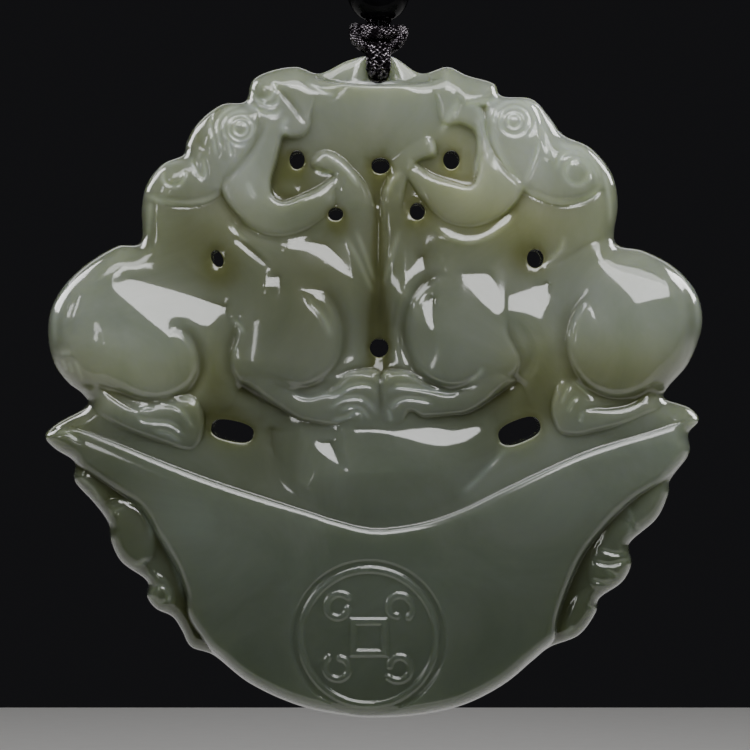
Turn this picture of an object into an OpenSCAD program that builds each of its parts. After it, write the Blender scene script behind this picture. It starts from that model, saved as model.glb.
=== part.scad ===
// Jade pendant: two beasts crouch over a boat-shaped ingot, hung from a doubled
// cord with a knot, a round bead and a hanging loop.
// Millimetres. +X is right, +Z is up, and the carved face looks along -Y.
// The origin is the point where the loop hangs.

/* [Jade] */
// Width of the jade at its widest
jade_w = 62.3; // [50:0.1:75]
// Height of the jade, from its lowest point to the cap
jade_h = 62.7; // [52:0.1:75]
// Height of the tallest carved form over the middle plane
front_t = 6.6; // [5:0.1:9]
// Height of the smooth back over the middle plane
back_t = 3.8; // [3:0.1:6]
// Half the thickness of the rim
rim_t = 1.9; // [1.5:0.1:2.3]
// Round of the rim, measured in from the outline
rim_round = 3.2; // [2:0.1:5]
// Diameter of the small round holes cut through
eye_d = 1.7; // [1.2:0.1:2]
// Width of the two long holes beside the ball
slot_w = 2.3; // [1.6:0.1:2.6]
// Length of the two long holes, end to end
slot_l = 4.3; // [3.4:0.1:4.8]

/* [Cord] */
// Diameter of the bore that the doubled cord passes through
bore_d = 2.1; // [2:0.1:2.2]
// Thickness of one strand
strand_d = 1.15; // [1:0.05:1.2]
// Gap between the bore and the doubled cord in it
bore_gap = 0.13; // [0.1:0.01:0.2]
// Rise from the middle of the bore to the underside of the knot
bail_h = 2.8; // [2.8:0.1:3.5]
// Height of the knot
knot_h = 1.9; // [1.8:0.1:3]
// Width of the knot at its top
knot_w = 5.2; // [4.8:0.1:6]
// Depth of the knot from front to back
knot_t = 4.4; // [4.3:0.1:5.5]

/* [Bead and loop] */
// Diameter of the bead
bead_d = 6; // [5:0.1:8]
// Diameter of the hole through the bead
bead_bore = 2.6; // [2.5:0.1:3]
// Gap between the pieces strung on the cord
string_gap = 0.1; // [0.05:0.05:0.2]
// Thickness of the loop's cord
loop_d = 1.2; // [1:0.1:1.2]

/* [Hidden] */

jade_c = [0.66, 0.69, 0.63];
cord_c = [0.07, 0.06, 0.08];
bead_c = [0.04, 0.04, 0.045];

// Outline of the jade, clockwise from the cap, in hundredths of its width (from the middle)
// and of its height (from the bottom).
cap = [[-0.5, 100], [-4, 99.1], [-8, 97.3]];
left_ear = [[-11.5, 98.3], [-15.5, 97.7], [-18.3, 96.2], [-19.4, 93.1]];
left_head = [[-23, 92.6], [-26.5, 90], [-28.3, 87], [-28.9, 85]];
left_snout = [[-32, 83.6], [-34.4, 80.6], [-35.2, 77], [-35.4, 71.8]];
left_haunch = [[-39, 71.2], [-43.5, 68.6], [-47, 65.3], [-49.1, 61.5], [-49.5, 57.5],
    [-48.6, 53.5], [-46.5, 50.6], [-44.2, 48.8], [-43.7, 47]];
left_tip = [[-48.2, 44.4], [-50, 42.5], [-48.5, 40.6], [-45.9, 39]];
left_waves = [[-45.4, 37.8], [-45.4, 35.6], [-42.5, 32.4], [-40.4, 29.5], [-39.9, 26.6],
    [-38.2, 23.4], [-34.4, 20.6], [-34.4, 18.3], [-33, 16.4], [-30.5, 15.2], [-29.1, 13.2],
    [-27.6, 10.6], [-24.1, 9.3]];
keel = [[-18.6, 5.1], [-11.2, 1.8], [-3.8, 0.3], [0.5, 0], [7.1, 0.4], [14, 1.9],
    [20, 4.9], [24.5, 8.5]];
right_waves = [[27.2, 10.6], [31.6, 12.4], [34.2, 15.8], [34.8, 18], [38.2, 20.4],
    [39.7, 23.2], [39.3, 25.5], [39.8, 26.8], [43.5, 30], [45.3, 33.6], [45.7, 36]];
right_tip = [[48.5, 39.8], [48.4, 42.9], [50, 44.9], [48.5, 46.8], [44.8, 48.2]];
right_haunch = [[45.4, 50], [48.3, 53.3], [50.1, 57.5], [50.5, 61], [49.3, 64.7], [46, 68.2],
    [41.5, 70.5], [37.2, 71.8]];
right_head = [[37.6, 77.5], [36.7, 82.1], [33.5, 86], [29.3, 88], [27.3, 90.5],
    [24.5, 93.4], [19.9, 93.9]];
right_ear = [[18.6, 95.8], [14.6, 97], [11.5, 98.3], [7.4, 97.3], [3.2, 99.8]];
outline = concat(cap, left_ear, left_head, left_snout, left_haunch, left_tip, left_waves,
    keel, right_waves, right_tip, right_haunch, right_head, right_ear);

// Rounded forms of the carving. Columns: middle across and up, half-width and half-height in
// hundredths, tilt in degrees, height of the crown as a share of front_t.
forms = [
    [-37.5, 59.5, 12.8, 13.0,   0, 1.00],  // left haunch
    [ 39.0, 59.3, 12.4, 12.8,   0, 1.00],  // right haunch
    [-12.0, 58.0, 10.5, 15.5,  15, 0.90],  // left body
    [ 13.5, 58.5, 10.5, 15.0, -10, 0.90],  // right body
    [  1.2, 40.5, 16.3, 10.0,   0, 0.97],  // ball
    [ -5.0, 47.8,  8.5,  4.4,   5, 0.95],  // left front paw
    [  7.5, 47.8,  8.5,  4.4,  -3, 0.95],  // right front paw
    [-33.0, 44.8, 10.0,  4.4, -20, 0.80],  // left hind paw
    [ 36.0, 46.2, 10.0,  4.0,  12, 0.80],  // right hind paw
    [-13.5, 79.5,  8.6,  6.9,   0, 0.80],  // left jaw
    [ 13.5, 80.5,  9.2,  6.4,   0, 0.80],  // right jaw
    [-23.5, 87.0,  6.8,  8.0, -35, 0.76],  // left brow
    [ 23.5, 88.0,  6.8,  8.0,  35, 0.76],  // right brow
    [-29.5, 81.6,  6.2,  4.4,   0, 0.70],  // left nose
    [ 30.5, 82.8,  6.4,  5.2,   0, 0.70],  // right nose
    [-15.8, 94.6,  4.2,  3.8, -30, 0.68],  // left ear
    [ 15.5, 94.4,  4.2,  3.8,  30, 0.68],  // right ear
    [  0.5, 89.5, 12.0,  6.5,   0, 0.60],  // panel between the heads
    [-27.0, 74.0,  9.0,  9.0,   0, 0.56],  // left neck
    [ 29.0, 74.5,  9.0,  9.0,   0, 0.56],  // right neck
];

// The ingot's upper edge: its lowest place, its slope and the round of its middle, in hundredths.
ingot_v = 28.4;
ingot_slope = 0.36;
ingot_round = 5;
// Height of the ingot's face in the middle and at its two tips, as shares of front_t.
ingot_mid = 0.92;
ingot_tip = 0.50;
// The wave bands on the ingot's flanks: how far out they start at the keel, how that grows
// with height, in hundredths, and their height as a share of front_t.
wave_u = 18.4;
wave_slope = 0.61;
wave_t = 0.48;
// Height of the hollows between the forms, as a share of front_t.
field_t = 0.36;

// Through holes: place across and up in hundredths.
eye_holes = [[-11.4, 84.1], [1.3, 83.2], [12.1, 84.1], [-5.5, 75.9], [6.9, 76.3],
    [-23.5, 69.2], [24.8, 69.2], [1.1, 55.8]];
// Long holes: place across and up in hundredths, and tilt in degrees.
slot_holes = [[-21.2, 43.3, -12], [22.4, 43.3, 22]];
// Place of the bore for the cord, how far round it the crest is thinner, and by what share.
bore_u = 1;
bore_v = 97.4;
crest_r = 10;
crest_thin = 0.45;

around = 2;         // ring points for each point of the outline
// Rings with all points and rings with half of them, on the face and on the back.
face_rings = [15, 9];
back_rings = [3, 4];
half_from = 0.5;    // share of the way out where the rings start to have all points

u_min = min([for (p = outline) p[0]]);
u_max = max([for (p = outline) p[0]]);
unit_u = jade_w / (u_max - u_min);
unit_v = jade_h / 100;

// Heights along the hanging line, from the bore up to the hang point.
knot_bottom = bail_h;
knot_top = knot_bottom + knot_h;
bead_mid = knot_top + string_gap + bead_d / 2;
bead_top = bead_mid + bead_d / 2;
// Where the loop leaves the bead, below the hang point.
loop_drop = 48;
bore_z = -loop_drop - bead_top;

// A place given in hundredths, in millimetres from the bore.
function place(u, v) = [(u - bore_u) * unit_u, (v - bore_v) * unit_v];

// A smooth closed curve through the outline's points.
function curve(p, n, k) = [for (i = [0 : len(p) - 1], j = [0 : k - 1])
    let (t = j / k, m = len(p), a = p[(i + m - 1) % m], b = p[i], c = p[(i + 1) % m], d = p[(i + 2) % m])
    b + t * (c - a) / 2 + t * t * (2 * a - 5 * b + 4 * c - d) / 2 + t * t * t * (3 * b - a - 3 * c + d) / 2];

function form_height(u, v, f) =
    let (x = u - f[0], y = v - f[1],
        a = (x * cos(f[4]) + y * sin(f[4])) / f[2], b = (y * cos(f[4]) - x * sin(f[4])) / f[3],
        r = a * a + b * b)
    r < 1 ? field_t + (f[5] - field_t) * pow(1 - r, 0.75) : 0;

function ingot_edge(u) = ingot_v + ingot_slope * (sqrt(u * u + ingot_round * ingot_round) - ingot_round);
function ingot_height(u, v) =
    let (below = ingot_edge(u) - v, side = min(1, abs(u) / 50),
        wave = min(1, max(0, (abs(u) - wave_u - wave_slope * v) / 1.5)),
        crest = ingot_mid + (ingot_tip - ingot_mid) * side * side,
        level = crest + (wave_t - crest) * wave)
    below < -3 ? 0 : below < 0 ? level * (1 + below / 6) : level * (1 - 0.12 * pow(below / ingot_v, 2));

// Height of the carved face over the middle plane, inside the rim's round.
function face_height(u, v) = front_t * max(concat([field_t, ingot_height(u, v)],
    [for (f = forms) form_height(u, v, f)]));
function rounding(d, r) = d >= r ? 1 : sqrt(1 - pow(1 - d / r, 2));

// The rings run from the outline to this place, and grow round on the way.
middle = [0, 50];
round_r = 46;
rim = curve(outline, len(outline), around);
count = len(rim);
half = floor(count / 2);
half_rim = [for (i = [0 : half - 1]) rim[2 * i]];
function inset(p, s) = (1 - s) * norm([(p[0] - middle[0]) * unit_u, (p[1] - middle[1]) * unit_v]);
// How far the crest round the bore is thinned, at a place in hundredths.
function thinned(q) = 1 - crest_thin * pow(max(0, 1 - pow(norm(q - [bore_u, 99]) / crest_r, 2)), 2);
function ring_point(p, s) = middle + (p - middle) * s * (s + (1 - s) * round_r / max(1, norm(p - middle)));
function front_point(p, s) =
    let (q = ring_point(p, s), c = place(q[0], q[1]),
        y = rim_t + (face_height(q[0], q[1]) - rim_t) * rounding(inset(p, s), rim_round))
    [c[0], -y * thinned(q), c[1]];
function back_point(p, s) =
    let (q = ring_point(p, s), c = place(q[0], q[1]), r = norm(q - middle) / round_r,
        y = rim_t + (back_t - rim_t) * max(0, 1 - 0.85 * pow(r, 3)))
    [c[0], y * thinned(q), c[1]];

// Shares of the way out for the rings of one face, from the outline in.
function shares(n) = concat([for (i = [0 : n[0] - 1]) 1 - (1 - half_from) * i / n[0]],
    [for (i = [0 : n[1] - 1]) half_from * (1 - i / n[1])]);
// Triangles between the rings of one face, seen from outside; flip turns them over.
function turn(t, flip) = flip ? [t[1], t[0], t[2]] : t;
function band(a, b, m, flip) = [for (i = [0 : m - 1]) let (k = (i + 1) % m)
    each [turn([a + k, a + i, b + i], flip), turn([b + k, a + k, b + i], flip)]];
function step_band(a, b, m, flip) = [for (i = [0 : m - 1]) let (k = (i + 1) % m, c = a + 2 * i, e = a + 2 * k)
    each [turn([c + 1, c, b + i], flip), turn([e, c + 1, b + k], flip), turn([b + k, c + 1, b + i], flip)]];
function skin(first, n, centre, flip) = let (h = first + n[0] * count)
    concat([for (r = [0 : n[0] - 2]) each band(first + r * count, first + (r + 1) * count, count, flip)],
        step_band(first + (n[0] - 1) * count, h, half, flip),
        [for (r = [0 : n[1] - 2]) each band(h + r * half, h + (r + 1) * half, half, flip)],
        [for (i = [0 : half - 1]) let (a = h + (n[1] - 1) * half) turn([a + (i + 1) % half, a + i, centre], flip)]);

module jade_blank() {
    front = [for (s = shares(face_rings), p = s > half_from ? rim : half_rim) front_point(p, s)];
    back = [for (s = shares(back_rings), p = s > half_from ? rim : half_rim) back_point(p, s)];
    b0 = len(front);
    mid = b0 + len(back);
    side = [for (i = [0 : count - 1]) let (k = (i + 1) % count)
        each [[i, k, b0 + i], [b0 + i, k, b0 + k]]];
    polyhedron(concat(front, back, [front_point(middle, 1), back_point(middle, 1)]),
        concat(skin(0, face_rings, mid, false), skin(b0, back_rings, mid + 1, true), side));
}

module bore(d, at, long = 40) {
    translate([at[0], -long / 2, at[1]]) rotate([-90, 0, 0]) cylinder(h = long, d = d, $fn = 32);
}

module long_hole(h) {
    c = place(h[0], h[1]);
    translate([c[0], 0, c[1]]) rotate([0, -h[2], 0]) {
        for (s = [-1, 1]) bore(slot_w, [s * (slot_l - slot_w) / 2, 0]);
        cube([slot_l - slot_w, 40, slot_w], center = true);
    }
}

module jade_carving() {
    color(jade_c) translate([0, 0, bore_z]) difference() {
        jade_blank();
        bore(bore_d, [0, 0]);
        for (h = eye_holes) bore(eye_d, place(h[0], h[1]));
        for (h = slot_holes) long_hole(h);
    }
}

// Half of the doubled cord's way, from the middle of the bore to the knot.
// Columns: out from the middle plane and up from the bore, in strand thicknesses.
bail_way = [[0, -0.12], [0.87, -0.14], [1.3, -0.09], [1.6, 0.09], [1.8, 0.43], [1.85, 0.87],
    [1.74, 1.35], [1.55, 1.8]];
// Where a strand ends under the knot, out from the middle plane, in strand thicknesses.
bail_end = 1.35;

// A tube of oval rings along a path in the YZ plane, with level ends. Half-widths run along X.
module oval_tube(path, half_w, half_t, sides = 12) {
    n = len(path);
    ring = [for (i = [0 : n - 1])
        let (a = path[max(0, i - 1)], b = path[min(n - 1, i + 1)],
            d = i == 0 || i == n - 1 ? [0, sign((b - a)[1])] : (b - a) / norm(b - a))
        for (k = [0 : sides - 1]) let (t = 360 * k / sides)
            [half_w[i] * cos(t), path[i][0] - d[1] * half_t * sin(t), path[i][1] + d[0] * half_t * sin(t)]];
    faces = concat(
        [for (i = [0 : n - 2], k = [0 : sides - 1]) let (a = i * sides, m = (k + 1) % sides)
            [a + k, a + m, a + sides + k]],
        [for (i = [0 : n - 2], k = [0 : sides - 1]) let (a = i * sides, m = (k + 1) % sides)
            [a + m, a + sides + m, a + sides + k]],
        [[for (k = [sides - 1 : -1 : 0]) k]], [[for (k = [0 : sides - 1]) (n - 1) * sides + k]]);
    polyhedron(ring, faces);
}

module bail_cord() {
    side = concat([for (p = bail_way) p * strand_d], [[bail_end * strand_d, bail_h - string_gap]]);
    path = concat([for (i = [len(side) - 1 : -1 : 1]) [-side[i][0], side[i][1]]], side);
    in_bore = bore_d / 2 - bore_gap;
    // The pair is squeezed in the bore and spreads to two strands side by side outside it.
    half_w = [for (p = path) let (s = min(1, max(0, (abs(p[0]) / strand_d - 1.35) / 0.4)))
        in_bore + (strand_d - in_bore) * s];
    color(cord_c) translate([0, 0, bore_z]) oval_tube(path, half_w, strand_d / 2);
}

module cord_knot() {
    // The knot is widest at its shoulder and narrows to the two strands below it.
    low_w = 2 * strand_d + 0.4;
    z = [0.3, 0.72];
    color(cord_c) translate([0, 0, bore_z + knot_bottom]) hull() {
        translate([0, 0, 0.1]) scale([low_w / knot_t, 1, 1]) cylinder(h = 0.2, d = knot_t, center = true, $fn = 32);
        translate([0, 0, knot_h * z[1]]) scale([knot_w / knot_t, 1, 1])
            cylinder(h = 0.3 * knot_h, d = knot_t, center = true, $fn = 32);
        translate([0, 0, knot_h - 0.1]) scale([0.8 * knot_w / knot_t, 0.8, 1])
            cylinder(h = 0.2, d = knot_t, center = true, $fn = 32);
    }
}

module round_bead() {
    color(bead_c) translate([0, 0, bore_z + bead_mid]) difference() {
        sphere(d = bead_d, $fn = 64);
        cylinder(h = 2 * bead_d, d = bead_bore, center = true, $fn = 48);
    }
}

// The loop's way, in millimetres across and below the hang point: up one side and down the other.
loop_half = [[0.64, -54], [0.64, -51], [0.64, -48], [0.9, -44.5], [1.7, -39], [2.9, -32.5],
    [4.2, -26], [5.3, -19], [5.9, -13], [5.8, -9], [5, -5.6], [3.6, -2.9], [1.9, -1.1], [0, -0.6]];

module hanging_loop() {
    way = concat([for (p = loop_half) [-p[0], p[1]]], [for (i = [len(loop_half) - 2 : -1 : 0]) loop_half[i]]);
    color(cord_c) rotate([0, 0, 90]) oval_tube(way, [for (p = way) loop_d / 2], loop_d / 2, 8);
}

jade_carving();
bail_cord();
cord_knot();
round_bead();
hanging_loop();
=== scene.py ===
import math

import bpy
import numpy as np
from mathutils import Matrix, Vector
from mathutils.geometry import delaunay_2d_cdt


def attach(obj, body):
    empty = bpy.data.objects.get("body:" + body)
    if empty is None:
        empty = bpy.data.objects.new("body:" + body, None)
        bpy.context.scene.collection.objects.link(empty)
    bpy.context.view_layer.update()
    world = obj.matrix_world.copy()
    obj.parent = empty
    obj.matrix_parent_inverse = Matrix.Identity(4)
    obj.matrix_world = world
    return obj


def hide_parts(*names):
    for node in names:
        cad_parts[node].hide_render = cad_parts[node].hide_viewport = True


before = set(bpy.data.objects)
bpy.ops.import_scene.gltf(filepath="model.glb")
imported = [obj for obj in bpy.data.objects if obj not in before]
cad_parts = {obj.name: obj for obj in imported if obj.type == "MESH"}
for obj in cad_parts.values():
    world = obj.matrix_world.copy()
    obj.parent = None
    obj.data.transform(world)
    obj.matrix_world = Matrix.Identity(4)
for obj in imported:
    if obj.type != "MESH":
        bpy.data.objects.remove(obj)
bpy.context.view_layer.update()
print("frame loaded")

mm = 0.001
boreZ = -58.8      # height of the cord's bore below the hang point, in millimetres


# helpers for meshes and materials

def meshPiece(name, points, faces, smooth=True):
    # points in metres, one list of faces with three or four corners
    data = bpy.data.meshes.new(name)
    data.from_pydata([tuple(p) for p in points], [], [tuple(f) for f in faces])
    data.update()
    if smooth:
        data.polygons.foreach_set("use_smooth", [True] * len(data.polygons))
    piece = bpy.data.objects.new(name, data)
    bpy.context.scene.collection.objects.link(piece)
    return piece


def newMaterial(name):
    material = bpy.data.materials.new(name)
    material.use_nodes = True
    nodes, links = material.node_tree.nodes, material.node_tree.links
    return material, nodes, links, nodes["Principled BSDF"]


def addNode(nodes, kind, **values):
    node = nodes.new(kind)
    for key, value in values.items():
        if hasattr(node, key):
            setattr(node, key, value)
        else:
            node.inputs[key.replace("_", " ")].default_value = value
    return node


def rampNode(nodes, stops):
    node = nodes.new("ShaderNodeValToRGB")
    ramp = node.color_ramp
    while len(ramp.elements) < len(stops):
        ramp.elements.new(0.5)
    for element, (place, colour) in zip(ramp.elements, stops):
        element.position = place
        element.color = (*colour, 1)
    return node


def curveAt(a, b, c, d, t):
    # a smooth curve's place between b and c, with a before them and d after
    return (b + t * (c - a) / 2 + t * t * (2 * a - 5 * b + 4 * c - d) / 2
            + t ** 3 * (3 * b - a - 3 * c + d) / 2)


def smoothLine(points, steps=8):
    # an open line through its points
    p = np.array(points, float)
    q = np.vstack([2 * p[0] - p[1], p, 2 * p[-1] - p[-2]])
    rows = []
    for a, b, c, d in zip(q[:-3], q[1:-2], q[2:-1], q[3:]):
        rows += [curveAt(a, b, c, d, k / steps) for k in range(steps)]
    rows.append(q[-2])
    return np.array(rows)


def smoothLoop(points, steps=8):
    # a closed line through its points
    p = np.array(points, float)
    around = [np.roll(p, shift, 0) for shift in (1, 0, -1, -2)]
    rows = [curveAt(*around, k / steps) for k in range(steps)]
    return np.stack(rows, 1).reshape(-1, p.shape[1])


def lengthsAlong(line):
    # how far along a line each of its points lies
    return np.concatenate([[0], np.cumsum(np.linalg.norm(np.diff(line, axis=0), axis=1))])


def evenly(line, gap):
    # points at one distance along a line, ends kept
    along = lengthsAlong(line)
    count = max(2, int(round(along[-1] / gap)) + 1)
    at = np.linspace(0, along[-1], count)
    return np.stack([np.interp(at, along, line[:, k]) for k in range(line.shape[1])], 1)


def lineLength(line):
    return float(lengthsAlong(line)[-1])


# the camera, at the photograph's angle
view = {
    "frameMm": 71.3,                # width of the picture at the stone
    "middleMm": (-0.33, -87.45),    # what the middle of the picture shows, across and up
    "distance": 0.46,
}


def makeCamera():
    data = bpy.data.cameras.new("viewCamera")
    data.sensor_width = 36
    data.lens = 36 * view["distance"] / (view["frameMm"] * mm)
    data.clip_start = 0.01
    camera = bpy.data.objects.new("viewCamera", data)
    bpy.context.scene.collection.objects.link(camera)
    x, z = (v * mm for v in view["middleMm"])
    camera.location = (x, -view["distance"], z)
    camera.rotation_euler = (math.radians(90), 0, 0)
    bpy.context.scene.camera = camera


makeCamera()


# braided cord: the hanging loop, the bail through the stone, and the knot
cordLook = {
    "loopThick": 1.2,
    "loopStep": 0.13,       # distance between the rings of the loop's mesh
    "strandThick": 1.15,
    "braidPitch": 1.25,     # length of one turn of the braid along the cord
    "braidStrands": 8,
    "braidRelief": 0.11,    # how deep the braid is, as a share of the radius
    "braidSides": 16,
    "boreGap": 0.13,
    "boreWide": 2.1,
    "bailStep": 0.055,
    "bailDeep": 0.465,      # half of the bail's thickness, in strand thicknesses
    "bailWidens": (1.35, 0.4),      # from where, and over how much, it grows to its full width, in the same
    "threadShare": 0.31,    # half-width of a thread, as a share of the gap between threads
    "threadSwing": 0.065,   # how far the threads rise and sink as they cross
    "threadFlat": 0.6,      # a thread's thickness against its width
    "threadSink": 0.6,      # how far its middle lies inside the cord's outside, in half-widths of a thread
    "threadPairs": 9,       # threads each way round the bail
    "threadSides": 6,
    "coreSink": 1.3,        # how far the core lies inside, in the same
    "coreSides": 12,
    "colour": (0.005, 0.004, 0.005),
    "fibreColour": (0.06, 0.05, 0.045),
    "fibreScale": 9000.0,
    "patchScale": 1500.0,   # patches of shiny and of dull threads
    "gloss": [(0.44, (0.0, 0.0, 0.0)), (0.6, (1.0, 1.0, 1.0))],     # strength and roughness, by the patches
    "dullness": [(0.4, (0.8, 0.8, 0.8)), (0.48, (0.14, 0.14, 0.14))],
    "glossTint": (1.0, 0.9, 1.0),
    "glossIndex": 1.75,
}

# the loop's way, in millimetres across and below the hang point, down one side from the top
loopHalf = [(0.64, -54), (0.64, -51), (0.64, -48), (0.9, -44.5), (1.7, -39), (2.9, -32.5), (4.2, -26),
            (5.3, -19), (5.9, -13), (5.8, -9), (5, -5.6), (3.6, -2.9), (1.9, -1.1), (0, -0.6)]
# half of the bail's way: out from the middle plane and up from the bore, in strand thicknesses
bailHalf = [(0, -0.12), (0.87, -0.14), (1.3, -0.09), (1.6, 0.09), (1.8, 0.43), (1.85, 0.87),
            (1.74, 1.35), (1.55, 1.8), (1.35, 2.35)]


def braidHeight(turn, along):
    # height of a round braid, 0 to 1: strands lean left and right and pass over one another
    pitch, strands = cordLook["braidPitch"], cordLook["braidStrands"]
    a = strands / 4 * turn / math.pi + along / pitch * 2
    b = strands / 4 * turn / math.pi - along / pitch * 2
    over = (np.floor(a) + np.floor(b)) % 2
    lean = np.where(over > 0.5, a, b)
    cross = np.where(over > 0.5, b, a)
    dip = 0.55 + 0.45 * np.sin(math.pi * (cross - np.floor(cross)))
    return np.abs(np.sin(math.pi * lean)) ** 0.6 * dip


def pathFrame(path, across):
    # unit directions across a path and out of it
    ahead = np.gradient(path, axis=0)
    ahead = ahead / np.linalg.norm(ahead, axis=1, keepdims=True)
    side = np.broadcast_to(np.array(across, float), path.shape)
    side = side - (side * ahead).sum(1, keepdims=True) * ahead
    side = side / np.linalg.norm(side, axis=1, keepdims=True)
    return side, np.cross(ahead, side)


def braidTube(path, half, across):
    # a round braided tube along a path, closed at both ends
    n, sides = len(path), cordLook["braidSides"]
    side, up = pathFrame(path, across)
    turn = np.linspace(0, 2 * math.pi, sides, endpoint=False)
    h = braidHeight(turn[None, :], lengthsAlong(path)[:, None])
    r = 1 - cordLook["braidRelief"] * (1 - h)
    points = (path[:, None] + side[:, None] * (half * np.cos(turn) * r)[..., None]
              + up[:, None] * (half * np.sin(turn) * r)[..., None]).reshape(-1, 3)
    faces = []
    for i in range(n - 1):
        for k in range(sides):
            m = (k + 1) % sides
            faces.append((i * sides + k, i * sides + m, (i + 1) * sides + m, (i + 1) * sides + k))
    for k in range(sides):
        m = (k + 1) % sides
        faces.append((m, k, n * sides))
        faces.append(((n - 1) * sides + k, (n - 1) * sides + m, n * sides + 1))
    return np.vstack([points, path[:1], path[-1:]]), faces


def joinParts(parts):
    points, faces, base = [], [], 0
    for p, f in parts:
        points.append(p)
        faces += [tuple(k + base for k in face) for face in f]
        base += len(p)
    return np.vstack(points), faces


def ovalTubes(lines, outward, wide, thick, sides):
    # oval tubes along many lines at once; outward is the direction of their thickness
    ahead = np.gradient(lines, axis=1)
    ahead = ahead / np.linalg.norm(ahead, axis=2, keepdims=True)
    up = outward - (outward * ahead).sum(2, keepdims=True) * ahead
    up = up / np.linalg.norm(up, axis=2, keepdims=True)
    side = np.cross(up, ahead)
    turn = np.linspace(0, 2 * math.pi, sides, endpoint=False)
    wide = np.broadcast_to(wide, lines.shape[:2])[..., None, None]
    thick = np.broadcast_to(thick, lines.shape[:2])[..., None, None]
    points = (lines[:, :, None] + side[:, :, None] * wide * np.cos(turn)[:, None]
              + up[:, :, None] * thick * np.sin(turn)[:, None])
    count, n = lines.shape[:2]
    index = np.arange(count * n * sides).reshape(count, n, sides)
    a, b = index[:, :-1], index[:, 1:]
    quads = np.stack([a, np.roll(a, -1, 2), np.roll(b, -1, 2), b], -1).reshape(-1, 4)
    return points.reshape(-1, 3), quads.tolist()


def threadBundle(path, halfAcross, halfThick, across, pairs, closed=False):
    # a cord braided of thin threads that pass over and under one another round a dark core
    look = cordLook
    path = np.vstack([path, path[:1]]) if closed else path
    side, up = pathFrame(path, across)
    if closed:
        for row in (side, up):
            row[0] = row[-1] = (row[0] + row[-1]) / np.linalg.norm(row[0] + row[-1])
    along = lengthsAlong(path)
    wide = np.broadcast_to(np.array(halfAcross, float), (len(path),))
    deep = np.broadcast_to(np.array(halfThick, float), (len(path),))
    girth = math.pi * float(np.mean(wide + deep))
    pitch = pairs * along[-1] / round(pairs * along[-1] / girth)
    thread = girth / pairs * look["threadShare"]
    swing = look["threadSwing"] * np.cos(2 * math.pi * pairs * along / pitch)
    lines, outward = [], []
    for lean in (-1, 1):
        for k in range(pairs):
            turn = 2 * math.pi * (k / pairs + lean * along / pitch)
            reach = lean * swing - look["threadSink"] * thread
            lines.append(path + side * ((wide + reach) * np.cos(turn))[:, None]
                         + up * ((deep + reach) * np.sin(turn))[:, None])
            outward.append(side * (deep * np.cos(turn))[:, None] + up * (wide * np.sin(turn))[:, None])
    flat = thread * look["threadFlat"]
    threads = ovalTubes(np.array(lines), np.array(outward), thread, flat, look["threadSides"])
    sink = look["coreSink"] * thread
    core = ovalTubes(path[None], up[None], (wide - sink)[None], (deep - sink)[None], look["coreSides"])
    return joinParts([threads, core])


def cordMaterial():
    look, tone = cordLook, cordLook["colour"]
    material, nodes, links, shader = newMaterial("braidedCord")
    place = addNode(nodes, "ShaderNodeTexCoord")
    fibre = addNode(nodes, "ShaderNodeTexNoise", Scale=look["fibreScale"], Detail=3.0, Roughness=0.6)
    links.new(place.outputs["Object"], fibre.inputs["Vector"])
    ramp = rampNode(nodes, [(0.5, tone), (0.75, tuple(v * 2 for v in tone)), (0.9, look["fibreColour"])])
    links.new(fibre.outputs["Fac"], ramp.inputs["Fac"])
    links.new(ramp.outputs["Color"], shader.inputs["Base Color"])
    # some threads shine and others are dull
    patches = addNode(nodes, "ShaderNodeTexNoise", Scale=look["patchScale"], Detail=2.0, Roughness=0.6)
    links.new(place.outputs["Object"], patches.inputs["Vector"])
    for stops, socket in ((look["gloss"], "Specular IOR Level"), (look["dullness"], "Roughness")):
        ramp = rampNode(nodes, stops)
        links.new(patches.outputs["Fac"], ramp.inputs["Fac"])
        links.new(ramp.outputs["Color"], shader.inputs[socket])
    shader.inputs["IOR"].default_value = look["glossIndex"]
    shader.inputs["Specular Tint"].default_value = (*look["glossTint"], 1)
    return material


cordFinish = cordMaterial()


def makeHangingLoop():
    way = [(-x, 0, z) for x, z in loopHalf] + [(x, 0, z) for x, z in loopHalf[-2::-1]]
    path = evenly(smoothLine(way, 12), cordLook["loopStep"])
    points, faces = braidTube(path, cordLook["loopThick"] / 2, (0, 1, 0))
    piece = meshPiece("hangingLoop", points * mm, faces)
    route = evenly(path, 1.5) * mm
    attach(piece, "hanging_cord")
    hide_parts("hanging_loop")
    round(lineLength(path) * mm, 4)
    piece.data.materials.append(cordFinish)


def makeBail():
    look, s = cordLook, cordLook["strandThick"]
    way = [(0, -y * s, boreZ + z * s) for y, z in bailHalf[:0:-1]]
    way += [(0, y * s, boreZ + z * s) for y, z in bailHalf]
    path = evenly(smoothLine(way, 12), look["bailStep"])
    # the bail is two strands wide, and narrower where the bore holds it
    start, stretch = look["bailWidens"]
    inBore = look["boreWide"] / 2 - look["boreGap"]
    half = inBore + (s - inBore) * np.clip((np.abs(path[:, 1]) / s - start) / stretch, 0, 1)
    points, faces = threadBundle(path, half, look["bailDeep"] * s, (1, 0, 0), look["threadPairs"])
    piece = meshPiece("bailCord", points * mm, faces)
    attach(piece, "hanging_cord")
    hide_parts("bail_cord")
    piece.data.materials.append(cordFinish)


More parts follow.
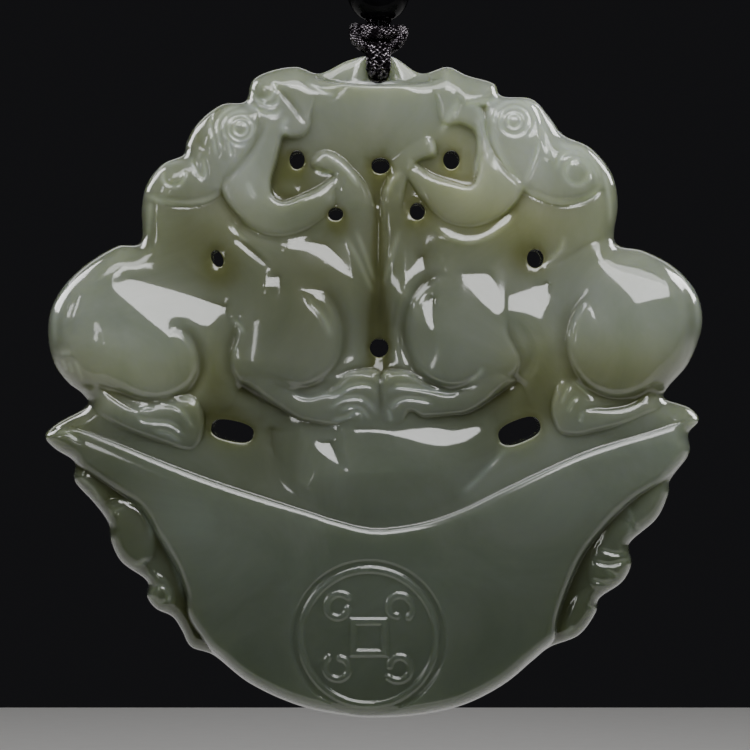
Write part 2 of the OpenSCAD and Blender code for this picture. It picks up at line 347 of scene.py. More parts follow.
knotLook = {
    "middleZ": -55.0,
    "wide": 2.15,       # half the width and half the depth of the wraps' middle lines
    "deep": 1.5,
    "cord": 0.52,       # half the thickness of the wraps
    "threadPairs": 8,
    # for each wrap: lean across the knot, shift down, and size against the first
    "wraps": [(0.42, -0.12, 1.0), (-0.34, 0.1, 1.04)],
    "wrapSteps": 210,
    "wrapRound": 0.85,  # below 1, a wrap is fuller at its corners than an oval
    "wrapSwing": 0.24,  # how far one wrap passes over the other
    # the strands that gather into the bail, and those that run up into the bead: one way each, which the
    # others mirror
    "gather": [(2.3, 0.5, -54.7), (2.25, 1.0, -55.3), (1.75, 1.5, -55.95), (1.05, 1.7, -56.45),
               (0.55, 1.76, -57.0)],
    "rise": [(0.58, -0.6, -55.98), (0.6, -0.4, -55.4), (0.6, 0, -54.9), (0.6, 0, -54.12)],
    "strand": 0.5,      # half the thickness of those strands
    "slimTo": 0.72,     # share of its thickness that a gathering strand ends with
    "strandPairs": 7,
    "strandStep": 0.06,
}


def makeKnot():
    k = knotLook
    turn = np.linspace(0, 2 * math.pi, k["wrapSteps"], endpoint=False)
    parts = []
    for number, (lean, drop, size) in enumerate(k["wraps"]):
        swing = np.cos(turn - math.pi / 2 - number * math.pi)      # passes over in front, under behind
        x = size * k["wide"] * np.sign(np.cos(turn)) * np.abs(np.cos(turn)) ** k["wrapRound"]
        y = (k["deep"] * np.sign(np.sin(turn)) * np.abs(np.sin(turn)) ** k["wrapRound"]
             + k["wrapSwing"] * swing)
        z = k["middleZ"] + drop + lean * np.cos(turn)
        path = np.stack([x, y, z], 1)
        parts.append(threadBundle(path, k["cord"], k["cord"], (0, 0, 1), k["threadPairs"], closed=True))
    for side in (-1, 1):
        for face in (-1, 1):
            way = np.array(k["gather"]) * (side, face, 1)
            path = evenly(smoothLine(way, 10), k["strandStep"])
            slim = np.linspace(1, k["slimTo"], len(path)) * k["strand"]
            parts.append(threadBundle(path, slim, slim, (side, 0, 0.4), k["strandPairs"]))
        way = np.array(k["rise"]) * (side, 1, 1)
        path = evenly(smoothLine(way, 10), k["strandStep"])
        parts.append(threadBundle(path, k["strand"], k["strand"], (1, 0, 0), k["strandPairs"]))
    points, faces = joinParts(parts)
    piece = meshPiece("cordKnot", points * mm, faces)
    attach(piece, "hanging_cord")
    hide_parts("cord_knot")
    piece.data.materials.append(cordFinish)
    print("knot triangles", 2 * len(faces))


makeHangingLoop()
makeBail()
makeKnot()
print("cord made")


# the round bead above the knot
beadLook = {
    "middleZ": -51.0,
    "radius": 3.0,
    "bore": 1.3,
    "round": 0.25,      # rounding of the bore's mouths
    "sides": 96,
    "colour": (0.003, 0.003, 0.0035),
    "cloudScale": 420.0,
    "cloudShare": 2.2,  # how much lighter the clouds are
    "roughness": 0.04,
    "glossIndex": 1.15,
}


def makeBead():
    b = beadLook
    start = math.asin((b["bore"] + b["round"] * 0.6) / b["radius"])
    arc = np.linspace(start, math.pi - start, 64)
    outer = [(b["radius"] * math.sin(a), b["radius"] * math.cos(a)) for a in arc]
    top = outer[0]
    mouth = [(b["bore"] + (top[0] - b["bore"]) * (1 - math.cos(t)), top[1] - b["round"] * (1 - math.sin(t)))
             for t in np.linspace(0, math.pi / 2, 6)]
    profile = [(b["bore"], 0.0)] + mouth[:-1] + outer + [(r, -z) for r, z in mouth[:-1][::-1]]
    sides, n = b["sides"], len(profile)
    turn = np.linspace(0, 2 * math.pi, sides, endpoint=False)
    points = [(r * math.cos(t), r * math.sin(t), b["middleZ"] + z) for r, z in profile for t in turn]
    faces = []
    for i in range(n):
        j = (i + 1) % n
        for k in range(sides):
            m = (k + 1) % sides
            faces.append((j * sides + k, j * sides + m, i * sides + m, i * sides + k))
    piece = meshPiece("polishedBead", np.array(points) * mm, faces)
    material, nodes, links, shader = newMaterial("blackBead")
    place = addNode(nodes, "ShaderNodeTexCoord")
    cloud = addNode(nodes, "ShaderNodeTexNoise", Scale=b["cloudScale"], Detail=4.0)
    links.new(place.outputs["Object"], cloud.inputs["Vector"])
    ramp = rampNode(nodes, [(0.4, b["colour"]), (0.7, tuple(v * b["cloudShare"] for v in b["colour"]))])
    links.new(cloud.outputs["Fac"], ramp.inputs["Fac"])
    links.new(ramp.outputs["Color"], shader.inputs["Base Color"])
    shader.inputs["Roughness"].default_value = b["roughness"]
    shader.inputs["IOR"].default_value = b["glossIndex"]
    piece.data.materials.append(material)
    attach(piece, "hanging_cord")
    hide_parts("round_bead")


makeBead()
print("bead made")


# the carved stone; places on it are in hundredths, across from its middle line and up from its lowest point
stonePlan = {
    "acrossMm": 0.62,          # one hundredth across
    "upMm": 0.627,             # one hundredth up
    "boreAt": (1.0, 97.4),
    "cellMm": 0.1,             # grid on which the relief is worked out, and how far it runs from the bore
    "gridAcross": (-32.8, 32.0),
    "gridUp": (-62.3, 2.9),
    "wall": 1.25,              # half the height of the upright rim
    "rimRound": 2.4,           # round of the rim, measured in from the outline
    "mouthRound": 0.1,         # round of the holes' mouths
    "fillet": 0.2,             # round of the seams between ground, ingot and crest
    "crestHalf": 1.34,         # thickness over the middle plane round the bore
    "crestFlat": 1.15,         # how far that thin part reaches to either side
    "crestFoot": -0.75,        # and how far down from the bore
    "crestRise": (0.6, 7),     # slope beside it and below it
    "lowHigh": (1.2, 6.5),     # limits of the relief
    "fineLine": 0.32,          # lines with a reach up to this are painted paler: partly the whiter look of a cut, partly painted highlight
    "backRim": 2.2,            # the back's height near its rim and at its middle
    "backCrown": 3.75,
    "backRound": 0.6,          # below 1, the back is flatter in the middle
    "boreDip": (1.2, 0.3, 2.4),    # the back's height at the bore, its rise, and where that begins
}

# how finely the stone is meshed: rows of points beside the outline and the holes, then square cells that
# are small where the surface bends
meshPlan = {
    "rimStep": 0.22,           # distance between the points of the outline
    "holeSteps": 40,           # points round a hole
    "tolerance": 0.16,         # most that the slope may change across a cell
    "smallEase": 2.6,          # cells of two grid steps may have this much more
    "rimBand": 1.2,            # width of the band along the outline that has small cells alone
    "rimCell": 0.21,           # and their size there
    # for each face: how often a cell may double, and the rows' distances from the outline and from a hole
    "front": (3, (0.01, 0.036, 0.145), (0.01, 0.05, 0.12)),
    "rear": (4, (0.036, 0.145), (0.03, 0.12)),
    "rowGap": (0.06, 0.05),    # between the last row and the cells, at the outline and at a hole
    "noMouth": 9.0,            # stands for a place far from any hole
}

outlineRows = {
    "cap": [(-0.5, 100), (-4, 99.1), (-8, 97.3)],
    "leftEar": [(-11.5, 98.3), (-15.5, 97.7), (-18.3, 96.2), (-19.4, 93.1)],
    "leftHead": [(-23, 92.6), (-26.5, 90), (-28.3, 87), (-28.9, 85)],
    "leftSnout": [(-32, 83.6), (-34.4, 80.6), (-35.2, 77), (-35.4, 71.8)],
    "leftHaunch": [(-39, 71.2), (-43.5, 68.6), (-47, 65.3), (-49.1, 61.5), (-49.5, 57.5), (-48.6, 53.5),
                   (-46.5, 50.6), (-44.2, 48.8), (-43.7, 47)],
    "leftTip": [(-48.2, 44.4), (-50, 42.5), (-48.5, 40.6), (-45.9, 39)],
    "leftWaves": [(-45.4, 37.8), (-45.4, 35.6), (-42.5, 32.4), (-40.4, 29.5), (-39.9, 26.6), (-38.2, 23.4),
                  (-34.4, 20.6), (-34.4, 18.3), (-33, 16.4), (-30.5, 15.2), (-29.1, 13.2), (-27.6, 10.6),
                  (-24.1, 9.3)],
    "keel": [(-18.6, 5.1), (-11.2, 1.8), (-3.8, 0.3), (0.5, 0), (7.1, 0.4), (14, 1.9), (20, 4.9),
             (24.5, 8.5)],
    "rightWaves": [(27.2, 10.6), (31.6, 12.4), (34.2, 15.8), (34.8, 18), (38.2, 20.4), (39.7, 23.2),
                   (39.3, 25.5), (39.8, 26.8), (43.5, 30), (45.3, 33.6), (45.7, 36)],
    "rightTip": [(48.5, 39.8), (48.4, 42.9), (50, 44.9), (48.5, 46.8), (44.8, 48.2)],
    "rightHaunch": [(45.4, 50), (48.3, 53.3), (50.1, 57.5), (50.5, 61), (49.3, 64.7), (46, 68.2),
                    (41.5, 70.5), (37.2, 71.8)],
    "rightHead": [(37.6, 77.5), (36.7, 82.1), (33.5, 86), (29.3, 88), (27.3, 90.5), (24.5, 93.4),
                  (19.9, 93.9)],
    "rightEar": [(18.6, 95.8), (14.6, 97), (11.5, 98.3), (7.4, 97.3), (3.2, 99.8)],
}

# small holes cut through: place, half-width and half-height in hundredths, tilt in degrees
roundHoles = [
    (-11.4, 84.1, 1.15, 1.42, 0), (1.3, 83.2, 1.4, 1.2, 0), (12.1, 84.1, 1.25, 1.42, 0),
    (-5.5, 75.9, 1.12, 0.98, 0), (6.9, 76.3, 1.15, 1.3, 0), (-23.5, 69.2, 0.85, 1.35, 25),
    (24.8, 69.2, 1.25, 1.42, 0), (1.1, 55.8, 1.4, 1.42, 0), (-21.2, 43.3, 3.25, 1.55, -12),
    (22.4, 43.3, 3.3, 1.7, 22),
]

# heights over the middle plane in millimetres that the carving's broad ground passes through
groundHeights = [
    (0, 99, 2.6), (-6, 91, 3.9), (8, 91, 3.9), (-11.5, 83, 3.2), (12, 84, 3.2), (1, 83, 3.3), (1, 76, 3.9),
    (-24, 90, 4.0), (-31, 82, 4.0), (-18, 95, 3.9), (24, 90, 4.0), (32, 83, 4.0), (18, 95, 3.9),
    (-32, 76, 4.2), (-26, 76, 4.1), (-27, 71, 4.4), (-35, 72, 4.6), (-20, 74, 4.2), (-23.5, 68.6, 4.35),
    (33, 76, 4.2), (27, 75, 4.1), (28, 71, 4.4), (37, 73, 4.6), (21, 74, 4.2), (24.8, 68.6, 4.35),
    (-10, 73, 4.5), (12, 73, 4.6), (-16, 72.6, 4.45), (17, 73.4, 4.5), (6.9, 76, 4.2), (-5.6, 75.6, 4.2),
    (1, 66, 3.9), (1, 58, 3.7), (1, 48, 4.7), (-38, 60, 5.2), (-12, 60, 5.2), (14, 60, 5.2), (40, 60, 5.2),
    (-24, 57, 5.3), (26, 57, 5.3), (-24, 49, 4.5), (26, 49, 4.5), (-21.2, 43.3, 3.9), (22.4, 43.3, 3.9),
    (-36, 46, 4.6), (38, 46, 4.6), (-47, 54, 4.5), (49, 54, 4.5), (-14, 44, 4.5), (1, 42, 4.7), (16, 44, 4.5),
    (1, 32, 4.3), (-18, 38, 4.3), (20, 38, 4.3), (-48, 43, 3.4), (48, 45, 3.4), (-43, 35, 3.5),
    (-37, 28, 3.5), (-32, 18, 3.4), (-27, 11, 3.3), (43, 33, 3.5), (37, 24, 3.5), (32, 16, 3.4),
    (28, 11, 3.3), (0, 16, 3.4), (-22, 24, 3.5), (22, 24, 3.5), (0, 3, 3.2),
]

# masses of the carving, laid over one another in this order: fullness (higher is flatter on top, with a
# steeper side), the border as a closed line, and the heights that its top passes through
massRows = {
    "crest": (3, [(-8.8, 95.4), (-8.6, 98.4), (-4, 101.5), (0, 102), (4, 102), (9.4, 99), (9.6, 95.4),
                  (4, 94.2), (0.5, 94), (-5, 94.4)],
              [(-1, 95.8, 1.7), (-8.4, 96.8, 2.6), (-6.8, 96.4, 2.1), (-3, 96, 1.7), (-3, 98.4, 1.66),
               (-6.5, 97.6, 1.8), (6, 96, 1.9), (8.8, 96.8, 2.4), (3.4, 95.8, 2.05), (5.6, 97.8, 1.5),
               (3, 98.4, 1.55), (1, 98, 1.6), (0, 100, 1.4)]),
    "panel": (40, [(-9.2, 96.6), (-6.7, 96), (-3.5, 95.6), (0, 95.4), (4, 95.4), (8, 95.8), (10.5, 96.5),
                   (13, 97.2), (16.5, 93), (18.4, 88), (18.4, 81), (12, 78), (6, 78), (2.5, 77), (0.8, 76),
                   (-1.5, 77), (-4, 78.4), (-8, 77.4), (-13, 76), (-17, 80), (-18.4, 86), (-16.4, 91),
                   (-12.4, 95.6)],
              [(0.5, 94.6, 4.5), (-6, 94.6, 4.4), (7, 94.8, 4.4), (0.5, 90, 4.35), (-7, 90, 4.1),
               (9, 91, 4.1), (0.5, 86, 3.75), (1.2, 83, 3.55), (1, 79.5, 3.7), (-11.4, 84, 3.3),
               (-12.4, 88.6, 3.7), (-10, 81, 3.3), (-13.4, 80, 3.3), (-8, 82.4, 3.4), (12.1, 84, 3.3),
               (12.8, 88.8, 3.7), (12, 81.8, 3.3), (9, 84, 3.35), (15, 82, 3.3), (-5.5, 87, 3.8),
               (6, 88, 3.9), (5, 82, 3.8), (-17, 78, 3.8), (17, 78, 3.8), (1, 76, 3.95), (-8, 77, 4.1),
               (-4.4, 78.4, 4.12), (9, 78, 4.0), (6, 78.4, 3.92)]),
    "leftMuzzle": (4, [(-9.2, 83.2), (-8.9, 84.6), (-7, 85.6), (-4.8, 84.7), (-2.9, 82.9), (-1, 80.6),
                       (0.1, 78), (0.6, 74.5), (0.6, 68), (-2.4, 68), (-3.4, 74.5), (-4, 77.5),
                       (-4.7, 80), (-5.8, 81.7), (-7.4, 82.3)],
                   [(-6.4, 83.6, 4.1), (-3, 81, 4.1), (-1.8, 77, 4.3), (-1.2, 71, 4.5)]),
    "rightMuzzle": (4, [(9.9, 84.7), (9.6, 86.8), (8.4, 87.6), (6.2, 86.6), (4.3, 84.9), (2.8, 82.8),
                        (1.8, 80.2), (1.4, 77.5), (1.2, 74), (1.2, 68), (4, 68), (4.4, 74.5), (4.8, 78),
                        (5.4, 81), (6.2, 83.2), (7.6, 84)],
                    [(7, 85.4, 4.1), (4, 82.4, 4.1), (3, 78, 4.3), (2.6, 71, 4.5)]),
    "bodies": (5, [(-39, 75), (-33.6, 73), (-29.4, 69.8), (-26, 66.8), (-23.4, 65.4), (-20.8, 66.6),
                   (-20.6, 69.8), (-20.6, 73.4), (-18, 76.4), (-13, 77.4), (-9.6, 79), (-6.8, 79.6),
                   (-4.8, 78), (-2.2, 77.8), (1, 77.2), (4.2, 78.4), (5.2, 78), (6.6, 77.6), (9, 78.8),
                   (13, 78), (18, 77.4), (21, 75.6), (22.4, 72), (22.8, 67.6), (25.4, 65.6), (28.4, 67),
                   (31.4, 69.6), (35, 72.6), (41, 75.6), (51, 74), (56, 66), (56, 54), (49, 48.6),
                   (44.6, 48.4), (38.5, 47.4), (33, 47.4), (29.8, 47), (27.4, 45), (24.4, 46.4), (22.4, 50.6),
                   (19, 49.4), (14.4, 46.8), (8, 45.4), (1, 45), (-6, 45.4), (-14, 47.4), (-19, 50.4),
                   (-21.4, 47), (-24, 44.8), (-27, 45), (-30, 46.6), (-36, 47.2), (-41, 48.8), (-46.5, 48.4),
                   (-53, 51), (-56, 60), (-53, 70), (-45, 75)],
               [(-39, 56, 6.3), (-39, 60.6, 6.12), (-39, 64.5, 5.83), (-39, 69, 4.95), (-43.5, 57, 6.0),
                (-43.5, 62, 5.75), (-44, 66, 5.2), (-47.5, 58, 5.3), (-35, 56.5, 6.33), (-35, 61, 6.03),
                (-35, 65.6, 5.17), (-35, 68.5, 4.85), (-35, 71, 4.75), (-30.4, 54, 6.15), (-30.4, 57.3, 6.03),
                (-30.4, 61, 5.47), (-30.4, 64.3, 4.88), (-30, 67, 4.65), (-26, 55, 5.85), (-26, 59, 5.62),
                (-26, 63, 4.95), (-26, 66, 4.5), (-23.4, 64.6, 4.75), (-38, 52, 6.05), (-44, 53, 5.6),
                (-32, 51.5, 5.75), (-24, 52, 5.35), (-24, 48.5, 4.7), (-21.5, 57, 5.6), (-21.5, 62, 5.2),
                (-20.5, 66.5, 4.65), (-17, 61, 5.75), (-15, 64.6, 5.55), (-14, 67.6, 5.02), (-16, 70.6, 4.65),
                (-13.6, 71.2, 4.68), (-13.6, 69.6, 4.85), (-12, 57, 6.0), (-12, 62, 5.85), (-11.6, 67, 5.3),
                (-12, 69.8, 5.0), (-10, 66, 5.4), (-10, 69.6, 5.12), (-10, 72, 4.7), (-12, 72.8, 4.6),
                (-8.4, 73.8, 4.6), (-7, 58, 5.8), (-7, 62, 5.6), (-7, 65, 5.42), (-7, 68.6, 5.14),
                (-7, 72, 4.62), (-6, 75, 4.5), (-3.6, 66.2, 4.98), (-4.4, 69, 4.5), (-4, 72.6, 4.25),
                (-3.4, 62, 5.1), (-17, 52, 5.85), (-11, 51.5, 5.9), (-4.5, 53.4, 5.35), (-12, 47.5, 5.5),
                (-4, 48, 5.7), (1.1, 73, 4.05), (1.1, 66, 4.0), (1.1, 60, 3.9), (1.1, 54.6, 3.95),
                (1.1, 48.6, 4.9), (36.5, 56.5, 6.33), (36.5, 62, 6.15), (36.5, 66.4, 5.75),
                (36.5, 69.5, 5.15), (36, 72, 4.7), (40.4, 57, 6.4), (40.4, 62, 6.1), (40.4, 66, 5.38),
                (40, 69.6, 4.75), (45.2, 57, 6.05), (45.2, 61.6, 5.8), (45, 65.4, 5.2), (49.4, 59.6, 5.25),
                (32, 57, 6.0), (32, 62.4, 5.7), (31.4, 66, 5.1), (32, 69.4, 4.7), (40, 52, 6.05),
                (46, 53, 5.6), (34, 51.5, 5.75), (26, 56, 5.75), (26, 60.2, 5.5), (26.4, 65, 4.68),
                (22.4, 60.4, 5.55), (22.4, 64.4, 4.85), (26.2, 52, 5.35), (26.2, 48.5, 4.7),
                (20.5, 64.2, 5.1), (19, 58, 6.0), (19, 61, 5.83), (19, 66, 4.95), (17, 60, 5.98),
                (17, 63, 5.74), (17, 66.8, 5.06), (15, 62, 5.94), (15, 64.6, 5.72), (14.2, 67, 5.3),
                (12.6, 63, 5.82), (12.4, 66.8, 5.45), (12.4, 69.4, 5.15), (12.4, 72, 4.86), (13, 57, 6.05),
                (10, 60, 5.85), (10, 66, 5.35), (10, 69.4, 5.0), (10, 72.6, 4.72), (17, 69.4, 4.78),
                (17, 72, 4.62), (8, 63.4, 5.25), (8, 66.2, 4.95), (8, 69.5, 4.5), (5.2, 63.4, 5.4),
                (5.4, 66.8, 4.82), (5, 70, 4.5), (7, 73.4, 4.42), (7, 75.4, 4.35), (25.6, 66.6, 4.52),
                (19.6, 70, 4.6), (19.2, 52, 5.85), (13.2, 51.5, 5.9), (6.7, 53.4, 5.35), (14.2, 47.5, 5.5),
                (6.2, 48, 5.7), (-18, 74.6, 4.45), (-12, 76, 4.45), (-7, 77.6, 4.25), (18.6, 75.4, 4.45),
                (13, 76.4, 4.45), (8.6, 78, 4.15)]),
    "leftCheek": (9, [(-15.4, 97.4), (-13, 99), (-10.4, 98.8), (-8.4, 97), (-8.5, 94), (-9.1, 91), (-9.4, 89),
                      (-10.6, 87.6), (-12.4, 87.4), (-13.4, 87.6), (-13.9, 86), (-14.4, 83.8), (-15.2, 81.2),
                      (-15.2, 79.3), (-14.4, 78.2), (-13, 77.9), (-11, 78.7), (-8.4, 79.9), (-6.2, 81.5),
                      (-5.3, 82.2), (-4.4, 80.4), (-5.4, 77.4), (-8, 74.8), (-11, 73.1), (-14.5, 72.5),
                      (-18, 73.5), (-20.8, 76), (-22.8, 79), (-22.4, 81.4), (-20.6, 83.6), (-18.6, 86.4),
                      (-17.5, 88.6), (-17.2, 90.4), (-17, 92.4), (-16, 94.8)],
                  [(-12, 96, 4.4), (-13, 91, 4.4), (-15.6, 87, 4.5), (-17.6, 83, 4.6), (-18, 78, 4.7),
                   (-14, 75.4, 4.75), (-9.5, 77.2, 4.75), (-6.5, 79.8, 4.5)]),
    "rightCheek": (9, [(8.6, 96.8), (10, 98.6), (12.2, 98.9), (14.6, 97.8), (14, 95), (14.6, 93.4),
                       (16.2, 92.6), (17.4, 90.4), (18, 87.6), (19.2, 84.4), (21, 82), (23, 80.6),
                       (22.6, 78.4), (20.4, 76), (17.4, 74.4), (14.4, 73.9), (11.2, 74.7), (8.4, 77),
                       (6.2, 80), (4.8, 82.4), (5.4, 84.4), (7.4, 83.2), (9.6, 81.8), (12.2, 80.9),
                       (15, 80.2), (15.9, 82), (16.1, 85), (15.6, 88), (13.6, 89.4), (11.6, 89.2),
                       (10.2, 90.2), (9.8, 93)],
                   [(11.5, 96, 4.4), (13.5, 91.4, 4.45), (16.8, 86, 4.55), (18.4, 81, 4.65), (16, 77.5, 4.75),
                    (11.5, 78.2, 4.75), (7.6, 81, 4.5)]),
    "leftEar": (3, [(-20.4, 92), (-19.8, 96), (-17.6, 98.6), (-14.6, 98.6), (-13.6, 96), (-13.4, 93.4),
                    (-14.4, 91.4), (-16.8, 90.8)],
                [(-16.4, 94.6, 4.5)]),
    "rightEar": (3, [(20.2, 93), (19.4, 96.2), (17, 98), (14.4, 98.2), (12.8, 96.8), (12.8, 94.2),
                     (13.8, 92.2), (16, 92), (18, 92.2)],
                 [(16, 95, 4.6)]),
    "leftFace": (8, [(-17, 92.7), (-20, 94.6), (-24.6, 94.4), (-30.4, 89), (-31, 84.8), (-28, 83),
                     (-25.8, 80.4), (-23.2, 79.2), (-21.4, 81.2), (-19.6, 83.6), (-17.8, 86.4), (-16.8, 89)],
                 [(-20, 89, 4.6), (-24, 91, 4.45), (-27, 87, 4.35), (-23, 83, 4.5), (-19, 92, 4.4)]),
    "rightFace": (8, [(17.2, 91.3), (18, 93.8), (20, 95.4), (25.6, 95.4), (29.2, 91), (30.2, 87.6),
                      (28.4, 84), (25.4, 81), (23, 79.4), (21.2, 81), (19.4, 83.4), (18, 86.4),
                      (17.3, 89)],
                  [(21.6, 90, 4.65), (25, 92.4, 4.45), (28, 88, 4.4), (22.5, 84, 4.55), (19.4, 93, 4.45)]),
    "leftNose": (4, [(-28.4, 86.4), (-33, 85.6), (-37, 81), (-35.4, 78.3), (-31.4, 77.2), (-28, 77),
                     (-25.2, 77.5), (-22.8, 79), (-22.2, 81.4), (-24, 84.2), (-26.4, 85.9)],
                 [(-30, 81.4, 4.6), (-25, 81, 4.5), (-33, 80, 4.4), (-28, 84, 4.5)]),
    "rightNose": (4, [(27.6, 88.8), (33.8, 88.6), (39.4, 82.4), (38, 79.4), (34.8, 79.4), (33, 78.2),
                      (30.4, 77.3), (27.4, 77.3), (24.6, 78.4), (22.4, 80), (23.6, 82.8), (25.4, 85.8)],
                  [(30.5, 83, 4.7), (26, 81, 4.55), (34.5, 82.5, 4.45), (31, 87, 4.45)]),
    "ball": (3.2, [(-17.4, 44), (-17, 40), (-14, 35.6), (-9.4, 32.4), (-4, 30.6), (1.5, 29.9), (7, 30.6),
                   (12.4, 32.8), (16.8, 36.4), (18.8, 40.4), (19, 45), (14, 49), (-12, 49)],
             [(4, 37, 5.6), (4, 42, 5.42), (4, 43.4, 5.22), (4, 45.4, 5.12), (10, 37.5, 5.5),
              (10, 41.4, 5.34), (10, 43.8, 4.92), (10, 45.6, 4.8), (15.6, 39.6, 5.25), (15.6, 42, 5.05),
              (15.6, 44.2, 4.68), (16, 46, 4.6), (-2, 37, 5.6), (-2, 41, 5.5), (-2, 44.4, 5.34),
              (-7, 36.6, 5.5), (-7, 38.4, 5.4), (-7, 41.2, 4.92), (-7, 44, 4.85), (-13, 39, 5.0),
              (1.2, 33, 5.4), (-8, 33.6, 5.3), (11, 34, 5.3)]),
    "leftArm": (9, [(-19.8, 51), (-17.2, 48.7), (-14.7, 47.2), (-12.3, 45.7), (-10, 44.8), (-5.8, 44.3),
                    (-3.5, 44.9), (-1.8, 44.7), (1.3, 44.7), (1.5, 47.5), (1.5, 51), (0.8, 52.6),
                    (-2.8, 52.4), (-5, 51.6), (-7.4, 51), (-9.8, 50.4), (-12.3, 50.8), (-16, 52)],
                [(-16, 50.4, 5.62), (-10, 47.6, 5.42), (-5, 49.6, 5.62), (-4, 46.4, 5.42), (0, 49, 5.52)]),
    "rightArm": (9, [(22, 51), (19.3, 48.9), (16.8, 47.2), (14.5, 46), (12, 45.7), (8.5, 45.4), (7.3, 45.6),
                     (6.4, 46.2), (5.6, 46.3), (5.1, 45.6), (4.7, 44.6), (3.5, 44.3), (1.4, 44.5),
                     (1.2, 47.5), (1.2, 51), (1.9, 52.4), (5, 52.4), (7.2, 51.6), (9.6, 51), (12, 50.4),
                     (14.5, 50.8), (18, 52)],
                 [(18.2, 50.4, 5.62), (12.2, 48, 5.42), (7.2, 49.6, 5.62), (6.2, 47, 5.45), (2.6, 49, 5.52)]),
    "leftFoot": (6, [(-43.9, 49.2), (-41.5, 50.4), (-38, 49.4), (-34, 48), (-30, 48.6), (-27.2, 48.6),
                     (-25.6, 46), (-25.6, 43), (-27.4, 40.5), (-31.5, 41.4), (-35, 42.6), (-38.5, 44.1),
                     (-41.9, 46.2)],
                 [(-40, 48, 4.8), (-34, 45.4, 5.05), (-29, 44.6, 5.0), (-31, 47, 5.2)]),
    "rightFoot": (6, [(44.9, 49), (41.9, 50), (38, 48.8), (34.4, 49), (31.4, 50.8), (28.8, 51), (27.4, 48.6),
                      (27.2, 45.6), (28.4, 43.2), (30.8, 42.6), (33.5, 43.1), (37.1, 44.1), (41, 45.6),
                      (44.4, 47.2)],
                  [(40.6, 47.6, 4.8), (35, 46, 5.05), (30.5, 46, 5.0), (31, 49, 5.2)]),
    "leftWaveTop": (3, [(-46.5, 38), (-42.5, 36.4), (-40.4, 34.4), (-41, 31.2), (-43.4, 30.8), (-47.6, 34.5)],
                    [(-43, 34, 3.7)]),
    "leftWaveMiddle": (3, [(-41, 31.9), (-38.5, 33.2), (-35.3, 32.2), (-33, 29.4), (-32.6, 26.4),
                           (-33.8, 23.6), (-36.6, 22), (-40.2, 22.4), (-42.4, 26.5)],
                       [(-36.5, 28, 3.85)]),
    "leftWaveLow": (3, [(-35.6, 21.8), (-32.4, 22), (-30.2, 19.8), (-30, 17), (-32, 14.6), (-35, 15),
                        (-37, 18.4)],
                    [(-32.5, 18.5, 3.65)]),
    "rightWaveTop": (3, [(47.2, 37), (43.4, 35.8), (40.2, 32.6), (39.6, 29.6), (41.2, 27.2), (45.4, 29),
                         (48, 33.4)],
                     [(43, 32, 3.7)]),
    "rightWaveMiddle": (3, [(39.8, 28.8), (36.8, 29.8), (34.2, 26.6), (32.8, 22.8), (33.6, 19.6), (37.6, 18),
                            (42, 22), (41, 25)],
                        [(36.5, 24, 3.8)]),
    "rightWaveLow": (3, [(34.8, 19.4), (31.6, 19.2), (29.6, 16), (28.8, 12.4), (31.6, 10.4), (35.6, 14),
                         (36.4, 17)],
                     [(32, 15, 3.6)]),
}

